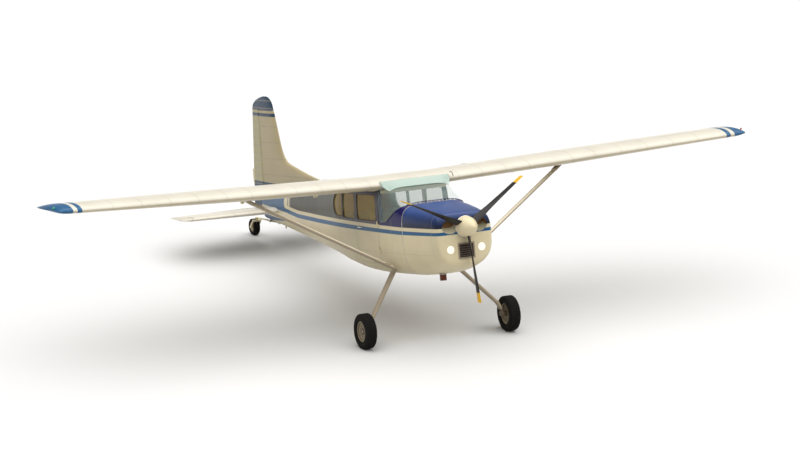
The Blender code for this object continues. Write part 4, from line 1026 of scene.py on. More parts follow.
def build_blade(name, turn):
    out = Vector((math.cos(turn), 0, math.sin(turn)))
    side = Vector((-math.sin(turn), 0, math.cos(turn)))
    rings = []
    for radius in stations(BLADE_ROOT, BLADE[-1][0], 0.022):
        _, chord, half, pitch = table_row(BLADE, radius)
        tilt = math.radians(pitch)
        flat = side * math.cos(tilt) + Vector((0, math.sin(tilt), 0))
        face = flat.cross(out)
        centre = out * radius + Vector((0, PROP_Y, 0))
        rings.append([centre + flat * (chord / 2 * math.cos(t))
                      + face * (half * math.sin(t) * (1.0 if math.sin(t) > 0 else BLADE_BACK))
                      for t in turns(24)])
    add("propeller_" + name, skin(rings), "blade", body="propeller", replaces=name, sharp=60)


# Cabin. A cutter reaches this far out, past the body's side
CUT_REACH = 0.8
HINGE_X, HINGE_Y = 0.5775, 0.762
HINGE_LOWS = (-0.350, 0.020)
HINGE_RADIUS = 0.008
HANDLE_Z = -0.050
# Distance out from a window's edge and height over the body at each corner of its strip
STRIP_CORNERS = ((0.0, -0.004), (0.0, 0.003), (0.010, 0.003), (0.010, -0.004))
GLASS_INSET = 0.006
GLASS_THICK = 0.005
STRIP_FRONT_Y = 0.034
SCREWS_Y = 0.022
BROW_START_Y = 0.470
BROW_BEND_Y = 0.570
BROW_SHARE = 0.035
BROW_HALF = 0.545
BROW_CORNER = 0.470
BROW_NOSE_Y = 0.588
PANEL_Y = (0.300, 0.345)
HOOD_TOP_Z = 0.268
HEADLINER_TOP_Z = 0.500
YOKE_X, YOKE_Y, YOKE_Z = 0.240, 0.540, 0.020
YOKE_GRIP = ((-0.130, 0.090), (-0.140, 0.045), (-0.140, 0.000), (-0.120, -0.032), (-0.090, -0.040),
             (0.0, -0.036), (0.090, -0.040), (0.120, -0.032), (0.140, 0.000), (0.140, 0.045), (0.130, 0.090))
# Columns: x, z, radius
DIALS = [(sx * 0.10 - 0.26, z, 0.040) for sx in (-1, 0, 1) for z in (0.06, 0.16)]
DIALS += [(0.10 + 0.11 * i, 0.12, 0.034) for i in range(3)] + [(0.02, 0.15, 0.030), (0.02, 0.06, 0.030)]


def build_cabin():
    shell = add("cabin_skin", body_wall(stations(0.0, CABIN_REAR_Y, 0.030)), "fuselage", "headliner",
                replaces="cabin_shell", slot="navy_paint")
    cutters = [prism(WINDSHIELD, -CUT_REACH, CUT_REACH)]
    for side, _ in SIDES:
        for outline in (WINDOWS["mid_window"], WINDOWS["rear_window"], rounded(*DOOR, (0.030,) * 4)):
            cutters.append(prism(outline, side * 0.3, side * CUT_REACH))
    smooth(carve(shell, merged(cutters)))
    bulkhead = skin([body_ring(y, -WALL) for y in (CABIN_REAR_Y - 0.020, CABIN_REAR_Y)])
    add("rear_bulkhead", bulkhead, "trim")
    for side, word in SIDES:
        build_door(side, word)
    for side, word in SIDES:
        for pane, outline in WINDOWS.items():
            repaint("%s_%s" % (pane, word), "side_glass")
            body = word + "_door" if pane == "door_window" else "airframe"
            add("%s_strip_%s" % (pane, word), outline_band(outline), "strip", body=body, side=side)
    build_windshield()


def build_door(side, word):
    front, rear = DOOR[:2]
    body = word + "_door"
    wall = body_wall(stations(front - 0.02, rear + 0.02, 0.030), inner=-0.024)
    panel = add("door_skin_" + word, wall, "fuselage", "headliner", body=body, side=side,
                replaces="door_" + word)
    carve(panel, mirrored(prism(rounded(*DOOR, (0.027,) * 4, -0.005), 0.25, CUT_REACH), side), "INTERSECT")
    smooth(carve(panel, mirrored(prism(WINDOWS["door_window"], 0.2, 0.85), side)))
    x, z = side_x(1.42, HANDLE_Z), HANDLE_Z
    handle = rope([(x + 0.002, 1.335, z), (x + 0.020, 1.345, z), (x + 0.024, 1.370, z), (x + 0.022, 1.430, z),
                   (x + 0.010, 1.445, z)], 0.007, 12)
    add("door_handle_" + word, handle, "chrome", body=body, side=side)
    knuckles, fixed = [], []
    for low in HINGE_LOWS:
        knuckles.append(upright(HINGE_X, HINGE_Y, low, low + 0.040, HINGE_RADIUS, 16))
        fixed.append(upright(HINGE_X, HINGE_Y, low - 0.0403, low - 0.0003, HINGE_RADIUS, 16))
        fixed.append(box((0.555, 0.573), (0.720, 0.758), (low - 0.037, low - 0.004)))
    add("door_hinge_" + word, merged(knuckles), "cream", body=body, side=side)
    add("shell_hinge_" + word, merged(fixed), "cream", side=side)


def outline_band(outline):
    """A raised strip round a window, lying on the body."""
    middle = Vector((sum(y for y, _ in outline), sum(z for _, z in outline))) / len(outline)
    rings = []
    for y, z in outline:
        away = (Vector((y, z)) - middle).normalized()
        ring = []
        for across, lift in STRIP_CORNERS:
            py, pz = y + away.x * across, z + away.y * across
            ring.append(Vector((side_x(py, pz) + lift, py, pz)))
        rings.append(ring)
    return skin(rings + [rings[0]], caps=False)


def brow_rows():
    """The glass from the windshield's upper part to where it lies on the wing, as an even sheet."""
    over = wing_point(0.0, BROW_SHARE, 1, grow=0.006)
    rows = []
    for t in [i / 14 for i in range(15)]:
        row = []
        for k in range(41):
            x = BROW_HALF * (2 * k / 40 - 1)
            inner = min(abs(x), BROW_CORNER)
            aside = (abs(x) - inner) / (BROW_HALF - BROW_CORNER)
            low = Vector((x, BROW_START_Y, top_z(BROW_START_Y, inner, 0.001)))
            low = low.lerp(Vector((x, BROW_NOSE_Y, WING_ROOT_Z)), aside)
            ahead = Vector((x, BROW_BEND_Y, top_z(BROW_BEND_Y, inner, 0.020)))
            ahead = ahead.lerp(Vector((x, BROW_NOSE_Y, WING_ROOT_Z + 0.056)), aside)
            high = Vector((x, over.y, over.z + WING_ROOT_Z))
            row.append(low * (1 - t) ** 2 + ahead * (2 * t * (1 - t)) + high * t ** 2)
        rows.append(row)
    return rows


def build_windshield():
    """The bowed pane, its brow over the wing's leading edge, and the strips and screws that hold it."""
    pane = body_wall(stations(0.020, 0.735, 0.016), -GLASS_INSET, -GLASS_INSET - GLASS_THICK)
    pane = add("windshield_pane", pane, "glass", "clear", replaces="windshield")
    carve(pane, prism(WINDSHIELD, -CUT_REACH, CUT_REACH), "INTERSECT")
    smooth(carve(pane, root_block((-0.7, 0.7))), 50)
    thicken(add("windshield_brow", sheet_mesh(brow_rows()), "lap", sharp=60), 0.004, 1)
    base = [Vector((x, STRIP_FRONT_Y, top_z(STRIP_FRONT_Y, x, 0.004)))
            for x in [-0.36 + 0.72 * i / 24 for i in range(25)]]
    left = [Vector((side_x(y, z) + 0.002, y, z)) for y, z in
            [(0.040 + 0.425 * i / 12, 0.300 - 0.242 * i / 12) for i in range(1, 13)]]
    right = [Vector((-p.x, p.y, p.z)) for p in left]
    add("windshield_strip", rope(list(reversed(right)) + base + left, 0.006), "navy")
    screws = []
    for x in [-0.330 + 0.060 * i for i in range(12)]:
        z = top_z(SCREWS_Y, x)
        screws.append(upright(x, SCREWS_Y, z - 0.002, z + 0.004, 0.009, 10, 0.006))
    add("windshield_screws", merged(screws), "chrome")
    vent = [(0.575, 0.640, 0.655), (0.580, 0.600, 0.662), (0.585, 0.565, 0.640), (0.585, 0.550, 0.600)]
    add("root_vent_tube", rope(vent, 0.006, 10), "iron")


def arched_row(half, y, z, drop, squareness, count):
    """Points across the cabin that fall away towards both sides."""
    return [Vector((half * k / count, y, z - drop * abs(k / count) ** squareness))
            for k in range(-count, count + 1)]


def build_interior():
    repaint("cabin_floor", "carpet")
    repaint("firewall", "steel")
    repaint("engine_block", "iron")
    repaint("elevator_torque_tube", "steel")
    build_panel()
    build_yokes()
    build_seats()
    ceiling = []
    for y in stations(0.780, 2.480, 0.10):
        z = min(HEADLINER_TOP_Z, top_z(y, 0.0) - WALL - 0.035)
        ceiling.append(arched_row(side_x(y, z) - WALL - 0.015, y, z, 0.020, 4, 8))
    thicken(add("headliner", sheet_mesh(ceiling), "trim"), 0.006)
    add("front_header", box((-0.515, 0.515), (0.655, 0.700), (0.452, 0.505)), "headliner", bevel=0.008)
    for side, word in SIDES:
        post = rope([(0.500, 0.750, 0.060), (0.505, 0.752, 0.300), (0.490, 0.745, 0.490)], 0.016, 12)
        add("front_post_" + word, post, "navy", side=side)


def build_panel():
    front, rear = PANEL_Y
    rows = []
    for z in stations(-0.160, 0.245, 0.03):
        x = min(side_x(0.32, z, -WALL) - 0.006, 0.50)
        rows.append([(x, front, z), (x, rear, z), (-x, rear, z), (-x, front, z)])
    add("panel_board", skin(rows), "plastic", replaces="instrument_panel", bevel=0.004)
    hood = []
    for y, fall in ((0.050, 0.0), (0.150, 0.0), (0.300, 0.0), (0.370, 0.004), (0.388, 0.016)):
        z = HOOD_TOP_Z - fall
        hood.append(arched_row(side_x(y, z) - WALL - 0.012, y, z, 0.030, 6, 12))
    thicken(add("glareshield", sheet_mesh(hood), "plastic"), 0.010)
    rims = [rod((x, rear, z), (x, rear + 0.005, z), radius, 24, radius * 0.92) for x, z, radius in DIALS]
    faces = [rod((x, rear + 0.001, z), (x, rear + 0.003, z), radius * 0.86) for x, z, radius in DIALS]
    add("panel_rims", merged(rims), "steel")
    add("panel_dials", merged(faces), "dial")


def build_yokes():
    for side, word in SIDES:
        parts = [rope([(YOKE_X + x, YOKE_Y, YOKE_Z + z) for x, z in YOKE_GRIP], 0.013, 12),
                 rod((YOKE_X, 0.352, YOKE_Z), (YOKE_X, 0.535, YOKE_Z), 0.011, 16),
                 box((0.215, 0.265), (0.525, 0.553), (-0.032, 0.032))]
        add("yoke_" + word, merged(parts), "plastic", side=side, replaces="control_yoke_" + word)


# Seats. Columns: name, half width, cushion's front y, back's front and rear y, cushion's and back's top z
SEAT_ROWS = (
    ("front_seat", 0.440, 0.900, 1.330, 1.440, -0.260, 0.190),
    ("middle_seat", 0.430, 1.590, 1.950, 2.050, -0.270, 0.150),
    ("rear_seat", 0.380, 2.130, 2.400, 2.480, -0.270, 0.130),
)
FLOOR_TOP_Z = -0.600
SEAT_THICK = 0.065
PAD_CUTS = 26
PAD_SQUARENESS = 5.0
PAD_CROWN = 0.008
PAD_SEAMS = 2
PAD_SWELL = 0.012
PAD_VOXEL = 0.013
PAD_CAP = 0.024
PAD_FRAMES = 20
PAD_PRESSURE = 4.0
CHANNEL_DEPTH = 0.010
CHANNEL_WIDTH = 0.03


def channel(x):
    """Depth of the sewn channels at a share of a pad's half width."""
    line = min(abs(abs(x) - (2 * k + 1) / (2 * PAD_SEAMS + 1)) for k in range(PAD_SEAMS))
    return CHANNEL_DEPTH * math.exp(-(line / CHANNEL_WIDTH) ** 2)


def cushion(half):
    """A crowned pad with pulled-in sides and sewn channels across its top."""
    builder = bmesh.new()
    bmesh.ops.create_cube(builder, size=2.0)
    bmesh.ops.subdivide_edges(builder, edges=builder.edges[:], cuts=PAD_CUTS, use_grid_fill=True)
    for vert in builder.verts:
        length = sum(abs(c) ** PAD_SQUARENESS for c in vert.co) ** (1 / PAD_SQUARENESS)
        x, y, z = (c / length for c in vert.co)
        rise = PAD_CROWN * ((1 - x * x) * (1 - y * y)) ** 0.5 - channel(x) if z > 0 else 0.0
        pull = 1 - 0.03 * (1 - abs(z)) * (1 - (x * y) ** 2)
        vert.co = Vector((x * half[0] * pull, y * half[1] * pull, z * half[2] + rise))
    return built(builder)


def swell(piece, place, half):
    """Cloth under inner pressure rounds a pad; sewn channels are pressed in afterwards."""
    even = piece.modifiers.new("even", "REMESH")
    even.mode = "VOXEL"
    even.voxel_size = PAD_VOXEL
    skin_mesh = bpy.data.meshes.new_from_object(evaluated(piece))
    piece.modifiers.remove(even)
    piece.data = skin_mesh
    cloth = piece.modifiers.new("cloth", "CLOTH")
    cloth.settings.use_pressure = True
    cloth.settings.uniform_pressure_force = PAD_PRESSURE
    cloth.settings.effector_weights.gravity = 0
    cloth.point_cache.frame_start = 1
    cloth.point_cache.frame_end = PAD_FRAMES
    scene = bpy.context.scene
    for number in range(1, PAD_FRAMES + 1):
        scene.frame_set(number)
    shifts = [there.co - here.co for there, here in zip(evaluated(piece).data.vertices, skin_mesh.vertices)]
    piece.modifiers.remove(cloth)
    scene.frame_set(1)
    level = (AIRFRAME @ place).inverted()
    for vert, shift in zip(skin_mesh.vertices, shifts):
        vert.co += shift * min(1.0, PAD_CAP / max(shift.length, 1e-6))
        local = level @ vert.co
        if local.z > 0.3 * half[2]:
            local.z -= channel(local.x / half[0])
            vert.co = AIRFRAME @ place @ local
    finer = piece.modifiers.new("finer", "SUBSURF")
    finer.levels = 1
    finer.render_levels = 1
    smooth(piece, 80)


def pad(name, centre, half, turn, key, replaced=None):
    place = Matrix.Translation(centre) @ turn
    half = [h - PAD_SWELL for h in half]
    piece = add(name, cushion(half), key, replaces=replaced, sharp=80, place=place)
    swell(piece, place, half)


def build_seats():
    thick = SEAT_THICK
    for name, half, front, back_front, back_rear, seat_z, back_z in SEAT_ROWS:
        depth = (back_front - front) / 2
        pad(name + "_cushion", (0, front + depth, seat_z - thick), (half - 0.012, depth - 0.004, thick),
            Matrix.Identity(4), "cushion")
        height = (back_z - seat_z) / 2
        lean = math.atan2(0.03, back_z - seat_z)
        turn = Matrix.Rotation(math.radians(90) - lean, 4, "X")
        back_depth = (back_rear - back_front) / 2
        pad(name + "_back", (0, (back_front + back_rear) / 2 + 0.006, (seat_z + back_z) / 2 + 0.004),
            (half - 0.010, height, back_depth * 0.80), turn, "seat", name)
        base_top = seat_z - 2 * thick + 0.006
        across = half - 0.03
        base = box((-across, across), (front + 0.02, back_rear - 0.05), (base_top - 0.030, base_top))
        add(name + "_pan", base, "seat", bevel=0.008)
        legs = [upright(x, y, FLOOR_TOP_Z + 0.002, base_top - 0.028, 0.014, 12)
                for x in (-half + 0.08, half - 0.08) for y in (front + 0.05, back_rear - 0.09)]
        add(name + "_legs", merged(legs), "steel")


# Wing
AILERON_END_GAP = 0.0065
FUEL_CAP = (0.55, 0.42)               # station and share of the chord
POSITION_LAMP = Vector((4.895, 0.900, 0.052))
FLAP_BRACKETS = (0.450, 1.600)
FLAP_PIVOT = Vector((0, 0.050, -0.150))
FIXED_ARM = ((-0.280, 0.170), (-0.124, 0.150), (-0.099, 0.060), (0.020, 0.020),
             (0.020, -0.020), (-0.020, -0.020), (-0.160, 0.040))
MOVING_ARM = ((-0.020, -0.020), (0.020, -0.020), (0.130, 0.055), (0.100, 0.135), (-0.010, 0.130))
STRUT_FOOT = Vector((0.500, 0.390, -0.625))
STRUT_HEAD = Vector((2.600, 1.003, 0.615))
STRUT_HALF_CHORD = 0.058
STRUT_HALF_THICKNESS = 0.025
STRUT_POINTS = 32
STRUT_SPAN = (0.02, 0.945)
STRUT_CUFFS = ((0.040, 0.075), (0.895, 0.925))
CUFF_GROWTH = 0.003


def build_wings():
    centre = root_block(stations(-WING_ROOT_X + 0.001, WING_ROOT_X - 0.001, 0.2))
    add("wing_roof", centre, "wing", replaces="wing_centre_section", sharp=40)
    for side, word in SIDES:
        build_wing(side, word)
        build_flap_arms(side, word)
        build_wing_details(side, word)
        build_strut(side, word)


def build_wing(side, word):
    flap_start, flap_end = FLAP_STATIONS[0] - SLOT_GAP, FLAP_STATIONS[1] + SLOT_GAP
    aileron_start, aileron_end = AILERON_STATIONS[0] - SLOT_GAP, AILERON_STATIONS[1] + AILERON_END_GAP
    rings = [wing_ring(s) for s in (0.0003, flap_start)]
    rings += [wing_ring(s, cut_share(s, FLAP_SHARE)) for s in stations(flap_start, flap_end, 0.10)]
    rings += [wing_ring(s) for s in (flap_end + 0.001, aileron_start - 0.002)]
    rings += [wing_ring(s, cut_share(s, AILERON_SHARE)) for s in stations(aileron_start, aileron_end, 0.10)]
    shape = in_wing(skin(rings))
    # The underside bands take the darker cream, a painted shade
    mark_bands(shape, len(rings), len(rings[0]), lambda i: i >= len(shares()) - 1)
    add("wing_skin_" + word, shape, "wing", "wing_under", side=side, replaces="wing_" + word, sharp=40)
    add("wing_cap_" + word, in_wing(skin([tip_ring(s) for s in TIP_STATIONS])), "wing", side=side,
        replaces="wing_tip_" + word, slot="blue_paint", sharp=50)
    for kind, share, ends in (("flap", FLAP_SHARE, FLAP_STATIONS),
                              ("aileron", AILERON_SHARE, AILERON_STATIONS)):
        surface = in_wing(skin([surface_ring(s, share) for s in stations(*ends, 0.12)]))
        add("%s_skin_%s" % (kind, word), surface, "wing", body="%s_%s" % (word, kind), side=side,
            replaces="%s_%s" % (kind, word), sharp=45)


def mark_bands(mesh, rows, across, second):
    """Gives the lengthwise bands picked by a test the second material."""
    for number, polygon in enumerate(mesh.polygons):
        if number < (rows - 1) * across and second(number % across):
            polygon.material_index = 1


def build_flap_arms(side, word):
    pivot = hinge_point(FLAP_STATIONS[0], FLAP_SHARE)[0] + FLAP_PIVOT
    for name, body, arm, start, end in (("flap_hangers_", "airframe", FIXED_ARM, -0.010, 0.0),
                                        ("flap_arms_", word + "_flap", MOVING_ARM, 0.0003, 0.010)):
        outline = [(pivot.y + y, pivot.z + z) for y, z in arm]
        arms = [in_wing(prism(outline, x + start, x + end)) for x in FLAP_BRACKETS]
        add(name + word, merged(arms), "cream", body=body, side=side)


def build_wing_details(side, word):
    """Fuel cap, root fairing and position lamp."""
    cap = wing_point(*FUEL_CAP, 1)
    cap = upright(cap.x, cap.y, cap.z - 0.006, cap.z + 0.003, 0.045, 28, 0.040)
    add("fuel_cap_" + word, in_wing(cap), "steel", side=side)
    line = [wing_point(0.0, s, -1, grow=0.001) + Vector((0.006, 0, 0)) for s in shares(0.98, 22)[3:]]
    add("root_fairing_" + word, in_wing(rope(line, 0.007)), "cream", side=side)
    lens = lathe([(0.0, 0.022), (0.008, 0.019), (0.013, 0.010), (0.014, 0.0), (0.0, 0.0)],
                 stand(WING_FRAME @ POSITION_LAMP, 90, "Y"), 20)
    add("position_lamp_" + word, lens, "red" if side > 0 else "green", side=side)


def build_strut(side, word):
    along = (STRUT_HEAD - STRUT_FOOT).normalized()
    up = along.cross(Vector((0, 1, 0))).normalized()
    chordwise = up.cross(along)
    rings = []
    for t in stations(*STRUT_SPAN, 0.05):
        centre = STRUT_FOOT.lerp(STRUT_HEAD, t)
        ring = []
        for turn in turns(STRUT_POINTS):
            across = math.cos(turn)
            thin = STRUT_HALF_THICKNESS * math.sin(turn) * (1 - 0.45 * max(across, 0.0))
            ring.append(centre + chordwise * (STRUT_HALF_CHORD * across) + up * thin)
        rings.append(ring)
    shape = skin(rings)
    # The strut's top band takes the lighter cream, a painted highlight over the tan of its sides
    mark_bands(shape, len(rings), STRUT_POINTS, lambda i: math.sin(turns(STRUT_POINTS, 0.5)[i]) > 0.35)
    add("strut_fairing_" + word, shape, "gear", "bright", side=side, replaces="lift_strut_" + word)
    wide = STRUT_HALF_CHORD + CUFF_GROWTH
    high = STRUT_HALF_THICKNESS + CUFF_GROWTH
    cuffs = [skin([[STRUT_FOOT.lerp(STRUT_HEAD, t) + chordwise * (wide * math.cos(turn))
                    + up * (high * math.sin(turn)) for turn in turns(28)] for t in ends])
             for ends in STRUT_CUFFS]
    add("strut_cuffs_" + word, merged(cuffs), "gear", side=side, bevel=0.004)


# Tail. Columns of the fin: z, leading edge y, half thickness
FIN = (
    (0.200, 3.700, 0.050),
    (0.440, 3.850, 0.048),
    (0.542, 4.380, 0.046),
    (0.613, 4.738, 0.044),
    (0.686, 5.068, 0.042),
    (0.755, 5.190, 0.041),
    (0.845, 5.272, 0.040),
    (0.970, 5.332, 0.038),
    (1.370, 5.464, 0.032),
    (1.460, 5.495, 0.030),
)
RUDDER_HINGE_Y = 6.048
RUDDER_GAP = 0.0075
RUDDER_NOSE = 0.030
RUDDER_NOSE_TAPER = 0.010
RUDDER_TAPER_Z = 0.25
RUDDER_REAR_Y = (6.485, 6.288)        # at z 0 and at the horn's foot
RUDDER_FOOT_Z = -0.143
RUDDER_FOOT_REAR_Y = 6.490
RUDDER_FOOT_SLOPE = 0.38
RUDDER_TOP_Z = 1.4975
# Columns: z, leading edge y, trailing edge y, half thickness
RUDDER_HORN = (
    (1.4675, 5.500, 6.288, 0.030),
    (1.546, 5.524, 6.250, 0.027),
    (1.617, 5.580, 6.117, 0.021),
    (1.655, 5.650, 5.970, 0.014),
    (1.674, 5.720, 5.850, 0.006),
)
HORN_EDGE = 0.12
TAIL_LAMP_Z = 0.25
CREST = 0.30                          # where along it a section is thickest
STABILISER_Z = -0.015
ELEVATOR_HINGE_Y = 5.900
ELEVATOR_SLOT = 0.043
# Columns: x, leading edge y, half thickness; then x, nose radius, trailing edge y; then as the rudder's horn
STABILISER = ((0.000, 5.200, 0.050), (1.490, 5.365, 0.032))
ELEVATOR = ((0.130, 0.034, 6.180), (0.250, 0.033, 6.370), (1.540, 0.022, 6.150))
ELEVATOR_HORN = (
    (1.4975, 5.366, 6.157, 0.031),
    (1.545, 5.372, 6.145, 0.027),
    (1.605, 5.385, 5.850, 0.018),
    (1.650, 5.410, 5.600, 0.006),
)


def streamlined(lead, rear, half, end=0.62, points=14):
    """(along, across) points of a symmetric section."""
    upper = []
    for s in shares(count=points):
        thick = 1.0 - (1.0 - end) * max((s - CREST) / (1 - CREST), 0.0) ** 1.5
        if s < CREST:
            thick = math.sqrt(max(1 - (1 - s / CREST) ** 2, 0.0))
        upper.append((lead + s * (rear - lead), thick * half))
    return upper + [(a, -c) for a, c in reversed(upper[1:])]


def nosed(hinge, rear, radius, edge=0.003, points=12):
    """(along, across) points of a control surface with a round nose."""
    arc = [math.pi / 2 + math.pi * i / points for i in range(points + 1)]
    runs = [i / 6 for i in range(1, 7)]
    lower = [(hinge + (rear - hinge) * s, -radius + (radius - edge) * s) for s in runs]
    upper = [(a, -c) for a, c in reversed(lower)]
    return [(hinge + radius * math.cos(t), radius * math.sin(t)) for t in arc] + lower + upper


def rudder_nose(z):
    """Radius of the rudder's round front at a height."""
    taper = max(z - RUDDER_TAPER_Z, 0.0) / (RUDDER_TOP_Z - RUDDER_TAPER_Z)
    return RUDDER_NOSE - RUDDER_NOSE_TAPER * taper


def rudder_rear(z):
    low, high = RUDDER_REAR_Y
    return low + (high - low) * z / RUDDER_HORN[0][0]


def build_tail():
    ys = stations(CABIN_REAR_Y + 0.0003, TAIL_END_Y, 0.045)
    add("tail_skin", skin([body_ring(y) for y in ys]), "fuselage", replaces="tail_cone")
    add("tail_tie_down_ring", box((-0.004, 0.004), (5.358, 5.402), (-0.305, -0.220)), "cream", bevel=0.002)
    fin = skin([[(x, y, z) for y, x in streamlined(lead, RUDDER_HINGE_Y - rudder_nose(z) - RUDDER_GAP, half)]
                for z, lead, half in resampled(FIN, 0.020)])
    add("fin_skin", fin, "fin", replaces="fin", sharp=45)
    foot = nosed(RUDDER_HINGE_Y, RUDDER_FOOT_REAR_Y, RUDDER_NOSE)
    rings = [[(x, y, RUDDER_FOOT_Z + RUDDER_FOOT_SLOPE * (y - RUDDER_HINGE_Y)) for y, x in foot]]
    for z in stations(0.10, RUDDER_TOP_Z, 0.10):
        rings.append([(x, y, z) for y, x in nosed(RUDDER_HINGE_Y, rudder_rear(z), rudder_nose(z))])
    horn = skin([[(x, y, z) for y, x in streamlined(lead, rear, half, HORN_EDGE)]
                 for z, lead, rear, half in resampled(RUDDER_HORN, 0.012)])
    add("rudder_skin", merged([skin(rings), horn]), "rudder", body="rudder", replaces="rudder", sharp=45)
    add("rudder_tab", box((-0.004, 0.004), (6.400, 6.462), (0.340, 0.560)), "cream", body="rudder")
    for side, word in SIDES:
        build_tailplane(side, word)
    lens = lathe([(0.0, 0.026), (0.010, 0.022), (0.015, 0.010), (0.016, 0.0), (0.0, 0.0)],
                 stand((0, rudder_rear(TAIL_LAMP_Z) - 0.004, TAIL_LAMP_Z), -90, "X"), 20)
    add("tail_lamp", lens, "white", body="rudder")


def level_ring(x, section):
    return [(x, y, STABILISER_Z + z) for y, z in section]


def build_tailplane(side, word):
    rows = [table_row(STABILISER, x) for x in stations(0.06, STABILISER[-1][0], 0.06)]
    rear = ELEVATOR_HINGE_Y - ELEVATOR_SLOT
    rings = [level_ring(x, streamlined(lead, rear, half)) for x, lead, half in rows]
    add("stabiliser_skin_" + word, skin(rings), "stabiliser", side=side, replaces="stabiliser_" + word,
        sharp=45)
    rings = []
    for near, far in zip(ELEVATOR, ELEVATOR[1:]):
        for x in stations(near[0], far[0], 0.06)[:-1]:
            _, radius, rear = between(near, far, (x - near[0]) / (far[0] - near[0]))
            rings.append(level_ring(x, nosed(ELEVATOR_HINGE_Y, rear, radius)))
    x, radius, rear = ELEVATOR[-1]
    rings.append(level_ring(x, nosed(ELEVATOR_HINGE_Y, rear, radius)))
    horn = skin([level_ring(x, streamlined(lead, rear, half, HORN_EDGE))
                 for x, lead, rear, half in resampled(ELEVATOR_HORN, 0.015)])
    add("elevator_skin_" + word, merged([skin(rings), horn]), "elevator", body="elevator", side=side,
        replaces="elevator_" + word, sharp=45)


# Landing gear. Columns: x, y, z, half chord, half thickness
GEAR_LEG = (
    (0.360, 0.585, -0.520, 0.066, 0.022),
    (0.513, 0.518, -0.700, 0.064, 0.022),
    (0.767, 0.390, -1.000, 0.058, 0.021),
    (0.990, 0.277, -1.263, 0.053, 0.021),
    (1.016, 0.252, -1.330, 0.050, 0.020),
    (1.024, 0.245, -1.365, 0.040, 0.016),
)
TAIL_SPRING = (
    (0.000, 5.480, -0.232, 0.028, 0.012),
    (0.000, 5.950, -0.213, 0.026, 0.010),
    (0.000, 6.300, -0.194, 0.024, 0.009),
    (0.000, 6.480, -0.184, 0.024, 0.009),
)
SPRING_CLAMPS = ((5.560, -0.229), (5.900, -0.214))
TYRE_RADIUS = 0.255
TYRE_WIDTH = 0.165
HUB_RADIUS = 0.150
HUB_BOLTS = 6
BOLT_CIRCLE = 0.086
TAIL_TYRE_RADIUS = 0.122
TAIL_TYRE_WIDTH = 0.098
TAIL_HUB_RADIUS = 0.070
CUT_DEPTH = 0.006
BORE_GAP = 0.0004
# Material 1 on the hub's face darkens its grooves, painted shade in the recesses
# Columns: radius, share of the hub's half width, material
HUB_FACE = ((0.043, 0.82, 3), (0.047, 0.66, 1), (0.054, 0.66, 2), (0.078, 0.62, 2), (0.084, 0.52, 1),
            (0.090, 0.62, 2), (0.120, 0.66, 2), (0.127, 0.72, 1), (0.134, 0.98, 0), (0.1495, 1.02, 0))


def spar(table, across, points=32, steps=8, squareness=2.4):
    rows = [between(near, far, i / steps) for near, far in zip(table, table[1:]) for i in range(steps)]
    rows.append(table[-1])
    across = Vector(across)
    rings = []
    for i, (*place, half_chord, half_thick) in enumerate(rows):
        ahead = Vector(rows[min(i + 1, len(rows) - 1)][:3]) - Vector(rows[max(i - 1, 0)][:3])
        up = ahead.cross(across).normalized()
        rings.append([Vector(place) + across * (half_chord * power(math.cos(turn), 2 / squareness))
                      + up * (half_thick * power(math.sin(turn), 2 / squareness)) for turn in turns(points)])
    return skin(rings)


def tyre(radius, width, bore, groove_places):
    """A tyre's outline with grooves round its tread."""
    half = width / 2
    shoulder = 0.20 * radius
    tread = half - shoulder * 0.55
    profile = []
    for i in range(13):
        t = math.radians(90 - 90 * i / 12)
        profile.append((radius - shoulder + shoulder * math.sin(t), tread + shoulder * 0.55 * math.cos(t)))
    flat = [(radius - depth, at * tread + edge) for at in groove_places
            for edge, depth in ((-0.0035, 0.0), (-0.0028, 0.005), (0.0028, 0.005), (0.0035, 0.0))]
    side = [(bore, half * 0.74), (bore + 0.10 * shoulder, half * 0.94), (bore + 0.35 * shoulder, half * 0.99)]
    upper = side + list(reversed(profile))
    return upper + sorted(flat, key=lambda p: -p[1]) + [(r, -h) for r, h in reversed(upper)]


def build_tyre(name, radius, width, bore, grooves, matrix, body, node, segments):
    """A tyre with notches across both shoulders of its tread, at every third segment."""
    mesh = lathe(tyre(radius, width, bore, grooves), matrix, segments)
    level = matrix.inverted()
    for vert in mesh.vertices:
        place = level @ vert.co
        out = math.hypot(place.x, place.y)
        step = round(math.atan2(place.y, place.x) / (2 * math.pi / segments))
        if out > radius * 0.955 and abs(place.z) > width / 2 * 0.42 and step % 3 == 0:
            share = (out - CUT_DEPTH) / out
            vert.co = matrix @ Vector((place.x * share, place.y * share, place.z))
    add(name, mesh, "rubber", body=body, replaces=node, level=False)


